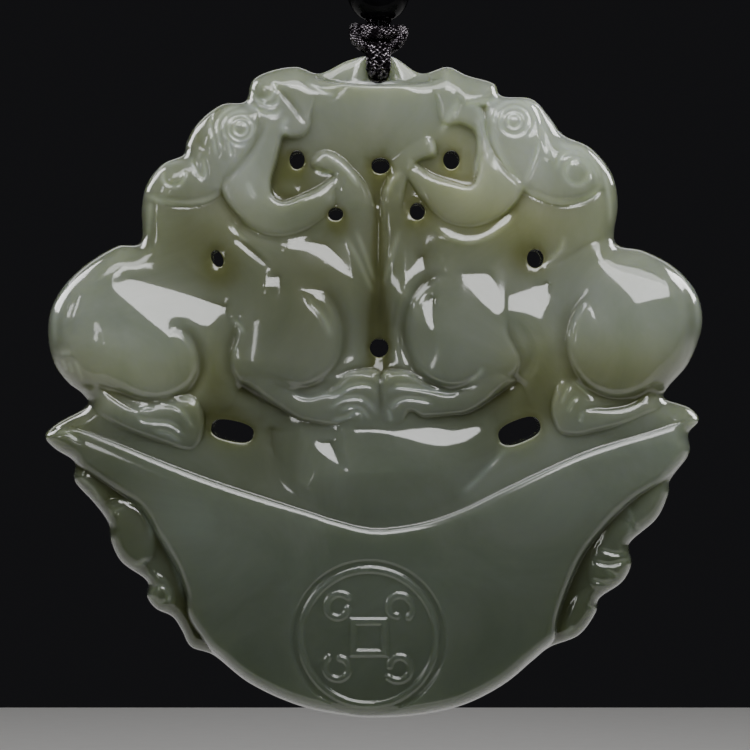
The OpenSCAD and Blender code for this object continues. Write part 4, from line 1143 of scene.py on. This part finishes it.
def coinPattern():
    # the medallion: a thin ring round a sunk ground, with a square and four scrolls standing in it
    look, big = medallion, medallion["radius"]
    x, z = toMm(look["middle"])
    px, pz = gridX[None, :] - x, gridZ[:, None] - z
    away = np.hypot(px, pz)
    sunk = -look["sink"] * np.clip((big - away) / 0.25, 0, 1)

    def flatTop(distance, half):
        # a line with a flat top and steep sides
        return np.clip((half - distance) / 0.2 + 0.5, 0, 1)

    (ring, ringHalf), (square, squareHalf) = look["ring"], look["square"]
    scroll, scrollHalf = look["scroll"]
    box = np.maximum(np.abs(px), np.abs(pz))
    raised = np.maximum(flatTop(np.abs(away - big * ring), ringHalf),
                        flatTop(np.abs(box - big * square), squareHalf))
    for quarter in range(4):
        a = quarter * math.pi / 2
        turn = np.linspace(-0.25 * math.pi, 1.45 * math.pi, 22)
        wide = big * scroll * (1 - look["scrollCurl"] * turn / math.pi)
        line = np.stack([wide * np.cos(turn + a), wide * np.sin(turn + a)], 1)
        lean, out = a + 0.25 * math.pi, big * look["scrollOut"]
        middle = np.array([x + out * math.cos(lean), z + out * math.sin(lean)])
        raised = np.maximum(raised, flatTop(distanceTo(line + middle, 1.0), scrollHalf))
    return sunk + look["stand"] * raised * (away < big)


# what the polishing left: small flats (slope across, slope up, loop), and calm places, each with the
# steepest fall that it keeps
polishLook = {
    "turns": 14,
    "reachMm": 5.0,
    "flats": [
        (0.06, -0.06, [(-5.6, 79.4), (-3.8, 79.6), (-3.1, 77.6), (-3.4, 76.2), (-4.3, 77.2), (-5.6, 77.4)]),
        (-0.15, -0.285, [(-39.5, 64.8), (-36.7, 66), (-29.5, 64), (-22.1, 61.8), (-24.8, 58.9), (-27.7, 59.3),
                         (-29.7, 58.6), (-30.6, 57.3), (-35, 61)]),
        (-0.02, -0.285, [(34.4, 68.3), (38.5, 70.2), (41.1, 69.7), (43.7, 67), (45.2, 63.2), (42.5, 63),
                         (39.9, 62.2), (39.3, 63.4), (37.3, 65.6)]),
        (-0.06, -0.28, [(13.6, 66.8), (17.7, 66.8), (19.1, 64.6), (20.2, 61.9), (19.1, 60.4), (16.9, 62.3),
                        (14.9, 64.6)]),
        (-0.06, -0.29, [(20.5, 63.4), (23.6, 64.2), (26.7, 65.5), (26.5, 62.6), (25.7, 59.8), (23.3, 60.9),
                        (20.6, 61.1)]),
        (-0.09, -0.275, [(4.6, 63.5), (5.1, 66.6), (7.6, 69.6), (8.2, 66.8), (6.4, 65.1)]),
        (-0.085, -0.29, [(9.4, 63.4), (8.1, 62.4), (7.7, 61), (8.2, 59.4), (9.2, 58), (9, 60), (9.1, 61.8)]),
        (-0.12, -0.272, [(-13.9, 70.7), (-9.2, 71.6), (-6.9, 71.2), (-4.8, 69.1), (-2.7, 66), (-5.1, 67.3),
                         (-7.1, 68.9), (-9.7, 70.4)]),
        (-0.13, -0.28, [(-16.2, 66), (-13.9, 66.5), (-14.6, 64.9), (-16.3, 64.8)]),
        (0.17, -0.03, [(-20, 59.6), (-18.1, 59.8), (-18.7, 56), (-19, 53.6), (-20.4, 54.6)]),
        (0.08, -0.03, [(-17.3, 59.8), (-14.6, 59.8), (-15, 54), (-18.3, 53.4), (-17.9, 56)]),
        (0.1, -0.05, [(-15.2, 79.7), (-14.4, 78.6), (-12.4, 78.6), (-11.6, 79.6), (-14.2, 80.6)]),
        (0.1, -0.17, [(-10.2, 43.3), (-9.6, 41.9), (-6.2, 41.9), (-5, 43.3)]),
        (0.02, -0.07, [(-7.6, 96.7), (-6, 96.2), (-2, 95.9), (-0.5, 95.9), (-0.5, 99.3), (-2.4, 99.6),
                       (-5, 98.5)]),
        (-0.1, -0.226, [(2.2, 96.3), (4.4, 96.2), (6.6, 96.7), (5, 97.8), (3, 98.6), (2.2, 98.6)]),
        (-0.085, -0.32, [(-2.7, 43.5), (1.1, 43.5), (4, 43), (6.3, 43.6), (8.9, 43.7), (12.5, 43.1),
                         (16.6, 44.1), (16.1, 43.1), (13.8, 41.6), (11, 41), (7.9, 41.4), (4.4, 42.4),
                         (1.1, 42.9), (-2.7, 42.9)]),
        (-0.11, -0.325, [(-9.2, 41.4), (-6.4, 41.5), (-5, 38.4), (-6.6, 39.2), (-7.9, 40.1)]),
        (-0.13, -0.235, [(-18, 93.2), (-17, 91.8), (-15.6, 91.2), (-14.2, 91.6), (-15.6, 92.2),
                         (-16.8, 93.6)]),
        (-0.075, -0.235, [(13.9, 94.3), (14.7, 95.3), (16.4, 95.5), (17.8, 94.1), (16, 93.6), (15.1, 92.6),
                          (14.2, 92.6)]),
        (0.079, -0.039, [(-42.3, 59.7), (-41.2, 59.7), (-41.2, 56.7), (-42.4, 56.7)]),
        (0.01, -0.1, [(-40.9, 59.9), (-37.6, 59.6), (-37.6, 56), (-40.9, 56.2)]),
        (0.25, -0.16, [(-15.4, 43.4), (-14.8, 40), (-12.4, 36.6), (-9.8, 35), (-8.8, 37), (-10.2, 40),
                       (-10.6, 43)]),
        (-0.03, -0.17, [(-4.6, 43.4), (-4, 40.4), (-3.4, 37), (2.6, 37), (3.2, 40.4), (2.6, 42)]),
        (-0.05, -0.244, [(25.1, 91.8), (26.8, 90), (27.8, 87.9), (28.7, 85.7), (27.6, 83.8), (26.8, 86.3),
                         (26, 89.1)]),
    ],
    "calm": [
        (-0.17, [(-41, 67.2), (-37, 67), (-33.5, 68), (-33.5, 71), (-37, 71), (-41, 69.4)]),
        (-0.165, [(-47, 57), (-46.4, 62), (-43, 66), (-39.4, 68.6), (-35.4, 70.4), (-31.6, 69), (-26, 64.4),
                  (-23.4, 63.2), (-20.8, 64.4), (-18.6, 68), (-16, 70.6), (-12, 71.2), (-9, 71.8), (-6.6, 73),
                  (-4.6, 74.4), (-3.2, 72), (-3, 66), (-3.2, 60), (-4, 55.4), (-8, 53.4), (-14, 53.4),
                  (-18, 54), (-21, 57), (-24, 53), (-28, 52), (-34, 51.6), (-40, 52.6), (-45, 54)]),
        (-0.165, [(48, 57), (48, 61), (45, 66), (40, 70.2), (36, 71), (32, 68.2), (28.6, 65.8), (25.4, 64.4),
                  (22.4, 66.4), (20.8, 70.4), (18, 72), (15, 71.6), (11.4, 72), (8.6, 73.6), (6.8, 75.4),
                  (5.2, 76.4), (4.6, 74), (4.4, 66), (4.6, 60), (5.4, 55.4), (10, 53.4), (16, 53.4),
                  (20, 54), (23, 57), (26, 53), (30, 52), (36, 51.6), (42, 52.6), (46.4, 54)]),
        (-0.15, [(-5, 54.2), (-3.8, 58), (-3, 64), (-3.4, 72), (-4.6, 76), (-6.6, 76.6), (-7.4, 75.2),
                 (-10, 73.6), (-14, 72.4), (-17.4, 72.6), (-20, 75), (-21.4, 74), (-21.4, 70), (-23.6, 72.4),
                 (-26.4, 72), (-28, 69.6), (-26.4, 66.6), (-23.6, 64.6), (-20.4, 66), (-17, 70.6),
                 (-12, 71.4), (-8, 72), (-5.4, 73.2), (-4, 70), (-3.6, 62), (-4.4, 57), (-6.6, 54)]),
        (-0.15, [(7.6, 54), (5.6, 57), (4.8, 62), (4.6, 70), (4.8, 76), (5.2, 78.4), (7.2, 77.8), (9, 76),
                 (12, 74.4), (15.4, 74), (18.6, 74.8), (21, 76.8), (23, 76), (23, 72), (26, 72.4), (28, 70),
                 (27, 67), (24.6, 65.4), (21.6, 67.4), (20, 71.6), (17, 72), (12.6, 71.6), (9, 73.2),
                 (6.8, 75), (5.4, 75), (5, 66), (5.2, 60), (6.6, 56)]),
        (-0.15, [(-27, 47.4), (-22.6, 48.4), (-18, 47.2), (-15.2, 45.6), (-16.2, 42), (-14, 38),
                 (-11.4, 35.6), (-14, 34.8), (-20, 37.6), (-25, 41), (-27.6, 43.6)]),
        (-0.15, [(27.4, 47), (23.6, 48.8), (19.6, 46.8), (16.8, 45.2), (18.4, 41.6), (17, 38), (14, 35.8),
                 (17, 35.4), (22, 38.6), (26, 41), (27.8, 44)]),
        (-0.2, [(-16, 43.2), (-15.4, 40), (-13, 36.6), (-9, 33.6), (-4, 32), (1.5, 31.4), (7, 32), (12, 34),
                (15.4, 37), (17.2, 40.4), (18, 44.4), (10, 44.4), (0, 43.6), (-10, 43.8)]),
        (-0.12, [(-14.8, 79), (-13.4, 86.4), (-8.4, 88.4), (-8, 94), (8.6, 94), (9.4, 89.6), (15, 88.6),
                 (15.4, 80.8), (9.4, 83), (2.4, 81.6), (-1.6, 83), (-6, 86.2), (-9.6, 84.6), (-8, 82)]),
    ],
}


def polishStone(relief):
    # moves the surface as little as it can until the flats have their slopes and the calm places theirs
    look = polishLook
    flats = [(insideOf(toMm(points)), across, up) for across, up, points in look["flats"]]
    calm = [(insideOf(toMm(smoothLoop(points, 4))), steepest) for steepest, points in look["calm"]]
    taken = np.zeros(relief.shape, bool)
    for mask, across, up in flats:
        taken |= mask
    waveX = (np.exp(2j * math.pi * np.fft.rfftfreq(relief.shape[1])) - 1)[None, :] / cell
    waveZ = (np.exp(2j * math.pi * np.fft.fftfreq(relief.shape[0])) - 1)[:, None] / cell
    hold = 1 / look["reachMm"] ** 2
    whole = hold + np.abs(waveX) ** 2 + np.abs(waveZ) ** 2
    kept = hold * np.fft.rfft2(relief)
    goalX = (np.roll(relief, -1, 1) - relief) / cell
    goalZ = (np.roll(relief, -1, 0) - relief) / cell
    slopeX, slopeZ = goalX.copy(), goalZ.copy()
    for turn in range(look["turns"]):
        for mask, across, up in flats:
            goalX[mask] += across - slopeX[mask]
            goalZ[mask] += up - slopeZ[mask]
        for mask, steepest in calm:
            push = mask & ~taken & (slopeZ < steepest) & (slopeZ > steepest - 0.6)
            goalZ[push] += steepest - slopeZ[push]
        waves = kept + np.conj(waveX) * np.fft.rfft2(goalX) + np.conj(waveZ) * np.fft.rfft2(goalZ)
        surface = np.fft.irfft2(waves / whole, relief.shape)
        slopeX = (np.roll(surface, -1, 1) - surface) / cell
        slopeZ = (np.roll(surface, -1, 0) - surface) / cell
    return surface


def carveStone():
    plan = stonePlan
    ground = sheetHeight(groundHeights, np.ones(stoneMask.shape, bool))
    coin = coinPattern()
    relief = softMax(ground, ingotHeight(), plan["fillet"]) + coin
    for fullness, points, heights in massRows.values():
        loop = toMm(smoothLoop(points, 6))
        mask = insideOf(loop)
        film = pillow(mask, distanceTo(closedLine(loop), 1.5))
        relief = relief + (sheetHeight(heights, mask) - relief) * (1 - (1 - film) ** fullness) * mask
    relief = polishStone(relief)
    # pale marks, partly the whiter look of cut jade and partly painted highlight: the coin's standing
    # pattern, the fine cut lines and the rings
    lines = medallion["paleLinesAndLight"] * np.clip(coin / medallion["stand"], 0, 1)
    for rows in strokeRows.values():
        for depth, left, right, points in rows:
            cut = strokeAt(toMm(smoothLine(points, 8)), left, right)
            relief = relief - depth * cut
            if max(left, right) <= plan["fineLine"]:
                lines = np.maximum(lines, cut)
    for u, v, radius, depth, width, start, end in ringRows:
        cut = ringAt(u, v, radius, width, start, end)
        relief = relief - depth * cut
        lines = np.maximum(lines, cut)
    # the crest over the bore is thin, so that the cord can pass round it
    beside, under = plan["crestRise"]
    limit = plan["crestHalf"] + beside * np.clip(np.abs(gridX[None, :]) - plan["crestFlat"], 0, None)
    limit = limit + under * np.clip(plan["crestFoot"] - gridZ[:, None], 0, None)
    relief = -softMax(-relief, -limit, plan["fillet"])
    return np.clip(relief, *plan["lowHigh"]), lines


def holeDistance():
    # distance of each cell to the nearest hole's edge, up to 1.5
    near = np.full(stoneMask.shape, 1.5)
    for loop in holeLoops:
        near = np.minimum(near, distanceTo(closedLine(loop), 1.5))
    return near


rimLoop = evenly(closedLine(stoneOutline), meshPlan["rimStep"])[:-1]
stoneLoops = [rimLoop] + holeLoops
loopPoints = sum(len(loop) for loop in stoneLoops)
holeNear = holeDistance()
holeMask = np.logical_or.reduce([insideOf(loop) for loop in holeLoops])


def stoneSurface(relief, places, edge, mouth):
    # height over the middle plane at given places, from the distances to outline and holes
    plan = stonePlan
    h = sample(relief, places)
    # the rim is less round along the keel, from 36 mm below the bore down
    reach = plan["rimRound"] * (0.55 + 0.45 * np.clip((places[:, 1] + 36) / 6, 0, 1))
    h = plan["wall"] + (h - plan["wall"]) * roundOff(edge, reach)
    return h - plan["mouthRound"] * (1 - roundOff(mouth, plan["mouthRound"]))


def leafCorners(relief, levels):
    # corners of square cells that are small where the surface bends and large where it is calm
    plan, tolerance = meshPlan, meshPlan["tolerance"]
    bendX = np.abs(np.gradient(np.gradient(relief, cell, axis=1), cell, axis=1))
    bendZ = np.abs(np.gradient(np.gradient(relief, cell, axis=0), cell, axis=0))
    twist = np.abs(np.gradient(np.gradient(relief, cell, axis=1), cell, axis=0))
    bend = np.maximum(np.maximum(bendX, bendZ), twist)
    bend = np.maximum(bend, np.where(stoneEdge < plan["rimBand"], tolerance / plan["rimCell"], 0))
    top = 2 ** levels
    rows, cols = (len(gridZ) // top) * top, (len(gridX) // top) * top
    worst = [bend[:rows, :cols]]
    for k in range(levels):
        b = worst[-1]
        worst.append(np.maximum(np.maximum(b[::2, ::2], b[1::2, ::2]),
                                np.maximum(b[::2, 1::2], b[1::2, 1::2])))
    used = np.zeros((rows + 1, cols + 1), bool)
    waiting = np.ones(worst[levels].shape, bool)
    for k in range(levels, -1, -1):
        size = 2 ** k
        calm = worst[k] * size * cell < tolerance * (plan["smallEase"] if k == 1 else 1)
        leaf = waiting & (calm | (k == 0))
        j, i = np.nonzero(leaf)
        for dj in (0, 1):
            for di in (0, 1):
                used[(j + dj) * size, (i + di) * size] = True
        waiting = waiting & ~leaf
        if k:
            waiting = np.repeat(np.repeat(waiting, 2, 0), 2, 1)
    j, i = np.nonzero(used)
    return np.stack([gridX[0] + i * cell, gridZ[0] + j * cell], 1)


def loopNormals(loop):
    # unit normals that point to the right of the way round
    d = np.roll(loop, -1, 0) - np.roll(loop, 1, 0)
    n = np.stack([d[:, 1], -d[:, 0]], 1)
    return n / np.linalg.norm(n, axis=1, keepdims=True)


def signedArea(loop):
    after = np.roll(loop, -1, 0)
    return 0.5 * float((loop[:, 0] * after[:, 1] - after[:, 0] * loop[:, 1]).sum())


def faceMesh(relief, levels, rimRows, holeRows):
    # one face of the stone: places, heights, triangles, and each point's number among the places given;
    # the loops' points come first, then the rows beside them, then the cells' corners
    plan = meshPlan
    places, edges, mouths, fixed = [], [], [], []

    def addRow(row, step, isRim):
        places.append(row)
        edges.append(np.full(len(row), step) if isRim else sample(stoneEdge, row))
        mouths.append(np.full(len(row), plan["noMouth"] if isRim else step))

    start = 0
    for loop in stoneLoops:
        fixed += [(start + k, start + (k + 1) % len(loop)) for k in range(len(loop))]
        start += len(loop)
        addRow(loop, 0.0, loop is rimLoop)
    for loop in stoneLoops:
        outward = loopNormals(loop) * (1 if signedArea(loop) > 0 else -1)
        isRim = loop is rimLoop
        for step in (rimRows if isRim else holeRows):
            addRow(loop + outward * (-step if isRim else step), step, isRim)
    inner = leafCorners(relief, levels)
    edge, mouth = sample(stoneEdge, inner), sample(holeNear, inner)
    rimGap, holeGap = plan["rowGap"]
    keep = sample(stoneMask.astype(float), inner) > 0.99
    keep &= sample(holeMask.astype(float), inner) <= 0.01
    keep &= (edge > rimRows[-1] + rimGap) & (mouth > holeRows[-1] + holeGap)
    places.append(inner[keep])
    edges.append(edge[keep])
    mouths.append(np.where(mouth[keep] > 1.4, plan["noMouth"], mouth[keep]))
    allPlaces = np.vstack(places)
    result = delaunay_2d_cdt([Vector(p) for p in allPlaces], fixed, [], 1, 1e-7, True)
    made = np.array([tuple(p) for p in result[0]])
    order = np.array([origin[0] if origin else -1 for origin in result[3]])
    triangles = np.array(result[2])
    # drop what lies in a hole: a triangle whose three corners are on one hole's loop
    owner = np.full(len(made), -1)
    start = len(rimLoop)
    for k, loop in enumerate(holeLoops):
        owner[(order >= start) & (order < start + len(loop))] = k
        start += len(loop)
    corner = owner[triangles]
    same = (corner[:, 0] >= 0) & (corner[:, 0] == corner[:, 1]) & (corner[:, 1] == corner[:, 2])
    middle = made[triangles].mean(1)
    inside = sample(holeMask.astype(float), middle) > 0.5
    drop = same & inside
    # drop what lies outside the outline: a triangle in one of its bays
    onRim = (order >= 0) & (order < len(rimLoop))
    outside = sample(stoneMask.astype(float), middle) < 0.5
    drop |= onRim[triangles].all(1) & outside
    triangles = triangles[~drop]
    order = np.where(order < 0, 0, order)
    height = stoneSurface(relief, made, np.concatenate(edges)[order], np.concatenate(mouths)[order])
    return made, height, triangles, order


def spotsOf(rows):
    # soft spots: place, reach across and up in millimetres, strength
    field = np.zeros(stoneMask.shape)
    for u, v, wide, high, strength in rows:
        x, z = toMm((u, v))
        across, up = (gridX[None, :] - x) / wide, (gridZ[:, None] - z) / high
        field = field + strength * np.exp(-across ** 2 - up ** 2)
    return field


# painted shade in the carving's hollows and at the holes' mouths, and the pale lines; distances in
# millimetres
tintPlan = {
    "hollowReach": 0.9,     # a hollow lies under the mean of this neighbourhood
    "hollowFrom": 0.03,     # by this much at least
    "hollowFull": 0.45,     # and this much more where the painted shade is full
    "hollow": 0.7,          # strengths of painted shade in hollows and at holes' mouths, and of the pale cut lines
    "mouth": 0.4,
    "line": 0.8,
    "mouthReach": 0.5,
    "lineShade": 1.5,       # how far a pale line keeps painted shade out of a hollow
    "crestFrom": -1.4,      # the crest above this height is left as it is
    "crestFade": 0.6,
    "rearShare": 0.2,       # painted shade over the whole back
}


def paintedShadeAmount(relief, lines):
    # 1 where shade is painted: darker and olive in hollows, at the holes' mouths and in the painted shade
    #                           spots
    plan = tintPlan
    depth = soften(relief, plan["hollowReach"]) - relief - plan["hollowFrom"]
    hollow = np.clip(depth / plan["hollowFull"], 0, 1) * (1 - np.clip(plan["lineShade"] * lines, 0, 1))
    mouth = np.clip((plan["mouthReach"] - holeNear) / plan["mouthReach"], 0, 1)
    paintedShade = plan["hollow"] * hollow + plan["mouth"] * mouth + spotsOf(paintedShadeRows)
    return np.clip(paintedShade, 0, 1) * np.clip((plan["crestFrom"] - gridZ[:, None]) / plan["crestFade"], 0, 1)


def paleLinesAndLight(lines):
    # 1 along a pale line, partly the whiter look of a cut and partly painted highlight, or in a patch of
    # painted light
    return np.clip(tintPlan["line"] * lines + spotsOf(paintedLightRows), 0, 1)


def backHeight():
    # the plain back: a low dome with a dip round the bore
    plan = stonePlan
    dome = pillow(stoneMask, stoneEdge, 4) ** plan["backRound"]
    back = plan["backRim"] + (plan["backCrown"] - plan["backRim"]) * dome
    low, rise, flat = plan["boreDip"]
    fromBore = np.hypot(gridX[None, :], gridZ[:, None])
    back = -softMax(-back, -(low + rise * np.clip(fromBore - flat, 0, None) ** 1.5), 0.3)
    return soften(back, 0.2)


def joinFaces(front, rear):
    # the closed stone: its two faces, and the upright walls along the outline and through each hole
    points, faces, where = [], [], []
    for (made, height, triangles, order), sign in ((front, -1), (rear, 1)):
        base = sum(len(p) for p in points)
        points.append(np.stack([made[:, 0], sign * height, made[:, 1] + boreZ], 1))
        a, b, c = (made[triangles[:, k]] for k in range(3))
        area = (b[:, 0] - a[:, 0]) * (c[:, 1] - a[:, 1]) - (c[:, 0] - a[:, 0]) * (b[:, 1] - a[:, 1])
        turned = np.where((area > 0)[:, None], triangles, triangles[:, ::-1])
        faces.append((turned[:, ::-1] if sign > 0 else turned) + base)
        # where each point of the loops has gone
        spot = np.full(loopPoints, -1)
        first = order < loopPoints
        spot[order[first][::-1]] = np.nonzero(first)[0][::-1] + base
        where.append(spot)
    start = 0
    for loop in stoneLoops:
        k = np.arange(len(loop)) + start
        m = np.roll(k, -1)
        a, b, c, d = where[0][k], where[0][m], where[1][m], where[1][k]
        counter = signedArea(loop) > 0
        facesOut = counter if loop is rimLoop else not counter
        walls = [np.stack([a, d, c], 1), np.stack([a, c, b], 1)]
        faces += [wall if facesOut else wall[:, ::-1] for wall in walls]
        start += len(loop)
    return np.vstack(points), np.vstack(faces)


def makeJade():
    relief, lines = carveStone()
    back = backHeight()
    print("relief worked out")
    front = faceMesh(relief, *meshPlan["front"])
    rear = faceMesh(back, *meshPlan["rear"])
    points, faces = joinFaces(front, rear)
    print("stone triangles", len(faces))
    piece = meshPiece("jadeStone", points * mm, faces.tolist())
    # how much painted shade, paleness and painted warm light each place has, for the colour of the stone
    fields = {
        "paintedShade": (paintedShadeAmount(relief, lines), tintPlan["rearShare"]),
        "pale": (paleLinesAndLight(lines), 0.0),
        "warm": (np.clip(spotsOf(warmRows), 0, 1), 0.0),
    }
    for name, (field, behind) in fields.items():
        values = np.concatenate([sample(field, front[0]), behind * np.ones(len(rear[0]))])
        attribute = piece.data.attributes.new(name, "FLOAT", "POINT")
        attribute.data.foreach_set("value", values.astype(np.float32))
    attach(piece, "pendant")
    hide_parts("jade_carving")
    return piece


jadeLook = {
    "low": [(0.34, (0.072, 0.089, 0.062)), (0.68, (0.095, 0.114, 0.085))],      # clouds at the keel, darker there as painted shade
    "high": [(0.34, (0.198, 0.222, 0.168)), (0.68, (0.250, 0.272, 0.226))],     # and at the crest
    "lowZ": -0.118,                     # in metres, where the painted shade towards the keel begins to give way
    "highZ": -0.062,                    # and where the crest's are reached
    "cloudScale": 95.0,
    "pale": (1.83, 1.84, 2.08),         # by what the colour is multiplied along pale lines and in painted light,
    "warm": (1.42, 1.36, 0.9),          # in warm ones, where light coming through is painted yellow and brighter,
    "paintedShade": (0.49, 0.475, 0.25),        # and where shade is painted
    "scatter": 0.007,                   # how far light runs in the stone, in metres
    "scatterColour": (0.95, 1.0, 0.6),
    "roughness": 0.11,
    "glossIndex": 1.56,
    "polish": 0.55,
    "polishRoughness": 0.04,
}


def colourMix(nodes, links, amount, first, second, blend="MIX"):
    # a mix of two colours, each a socket or a plain colour
    mix = addNode(nodes, "ShaderNodeMix", data_type="RGBA", blend_type=blend)
    links.new(amount, mix.inputs["Factor"])
    for socket, colour in zip([entry for entry in mix.inputs if entry.type == "RGBA"], (first, second)):
        if isinstance(colour, tuple):
            socket.default_value = (*colour, 1)
        else:
            links.new(colour, socket)
    return [entry for entry in mix.outputs if entry.type == "RGBA"][0]


def jadeMaterial():
    look = jadeLook
    material, nodes, links, shader = newMaterial("paleJade")
    place = addNode(nodes, "ShaderNodeTexCoord")
    cloud = addNode(nodes, "ShaderNodeTexNoise", Scale=look["cloudScale"], Detail=5.0, Roughness=0.6,
                    Distortion=0.8)
    links.new(place.outputs["Object"], cloud.inputs["Vector"])
    low, high = rampNode(nodes, look["low"]), rampNode(nodes, look["high"])
    links.new(cloud.outputs["Fac"], low.inputs["Fac"])
    links.new(cloud.outputs["Fac"], high.inputs["Fac"])
    # painted shade: the stone is darker towards the keel, where less light falls
    split = addNode(nodes, "ShaderNodeSeparateXYZ")
    links.new(place.outputs["Object"], split.inputs["Vector"])
    rise = addNode(nodes, "ShaderNodeMapRange", interpolation_type="SMOOTHSTEP")
    rise.inputs["From Min"].default_value = look["lowZ"]
    rise.inputs["From Max"].default_value = look["highZ"]
    links.new(split.outputs["Z"], rise.inputs["Value"])
    body = colourMix(nodes, links, rise.outputs["Result"], low.outputs["Color"], high.outputs["Color"])
    # painted light and painted shade multiplied into the colour: pale lines and painted light, painted warm
    # light, painted shade
    for name in ("pale", "warm", "paintedShade"):
        share = addNode(nodes, "ShaderNodeAttribute", attribute_name=name)
        body = colourMix(nodes, links, share.outputs["Fac"], body, look[name], "MULTIPLY")
    links.new(body, shader.inputs["Base Color"])
    shader.inputs["Subsurface Weight"].default_value = 1.0
    shader.inputs["Subsurface Radius"].default_value = look["scatterColour"]
    shader.inputs["Subsurface Scale"].default_value = look["scatter"]
    shader.inputs["Roughness"].default_value = look["roughness"]
    shader.inputs["IOR"].default_value = look["glossIndex"]
    shader.inputs["Coat Weight"].default_value = look["polish"]
    shader.inputs["Coat Roughness"].default_value = look["polishRoughness"]
    return material


jade = makeJade()
jade.data.materials.append(jadeMaterial())
print("stone made")


# the floor and the light
studio = {
    "floorZ": -0.15,
    "floorReach": [(-0.45, 0.45), (-0.06, 0.45)],       # from left to right, and from front to back
    "floorColour": (0.72, 0.71, 0.695),
    "floorGrain": 260.0,
    "floorRoughness": 0.6,
    "worldTone": (0.0082, 0.0082, 0.0092),
    # place, aimed at, width, height and power of each softbox
    "softboxes": {
        "keySoftbox": ((0.056, -0.262, 0.086), (0, 0, -0.085), 0.16, 0.10, 0.42),
        "leftSoftbox": ((-0.26, -0.20, 0.03), (0, 0, -0.085), 0.05, 0.09, 0.085),
        "smallSoftbox": ((-0.088, -0.285, -0.059), (0, 0, -0.085), 0.018, 0.04, 0.012),
        "topSoftbox": ((0.0, -0.08, 0.02), (0, 0.01, -0.075), 0.16, 0.05, 0.13),
        "floorSoftbox": ((0, 0.40, 0.12), (0, 0.40, -0.15), 0.6, 0.12, 0.3),
        "leftRear": ((-0.22, 0.16, 0.06), (0, 0, -0.075), 0.10, 0.16, 0.32),
        "rightRear": ((0.22, 0.16, 0.06), (0, 0, -0.075), 0.10, 0.16, 0.45),
    },
}


def makeFloor():
    (x0, x1), (y0, y1) = studio["floorReach"]
    z = studio["floorZ"]
    corners = [(x0, y0, z), (x1, y0, z), (x1, y1, z), (x0, y1, z)]
    floor = meshPiece("studioFloor", corners, [(0, 1, 2, 3)], smooth=False)
    material, nodes, links, shader = newMaterial("paleFloor")
    place = addNode(nodes, "ShaderNodeTexCoord")
    grain = addNode(nodes, "ShaderNodeTexNoise", Scale=studio["floorGrain"], Detail=3.0)
    links.new(place.outputs["Object"], grain.inputs["Vector"])
    tone = studio["floorColour"]
    ramp = rampNode(nodes, [(0.3, tuple(v * 0.97 for v in tone)), (0.7, tone)])
    links.new(grain.outputs["Fac"], ramp.inputs["Fac"])
    links.new(ramp.outputs["Color"], shader.inputs["Base Color"])
    shader.inputs["Roughness"].default_value = studio["floorRoughness"]
    floor.data.materials.append(material)


def lightStudio():
    for name, (place, target, width, height, power) in studio["softboxes"].items():
        data = bpy.data.lights.new(name, "AREA")
        data.shape = "RECTANGLE"
        data.size, data.size_y = width, height
        data.energy = power
        lamp = bpy.data.objects.new(name, data)
        bpy.context.scene.collection.objects.link(lamp)
        lamp.location = place
        lamp.rotation_euler = (Vector(target) - Vector(place)).to_track_quat("-Z", "Y").to_euler()
    world = bpy.data.worlds.new("studioWorld")
    world.use_nodes = True
    world.node_tree.nodes["Background"].inputs["Color"].default_value = (*studio["worldTone"], 1)
    bpy.context.scene.world = world


makeFloor()
lightStudio()
print("studio ready")
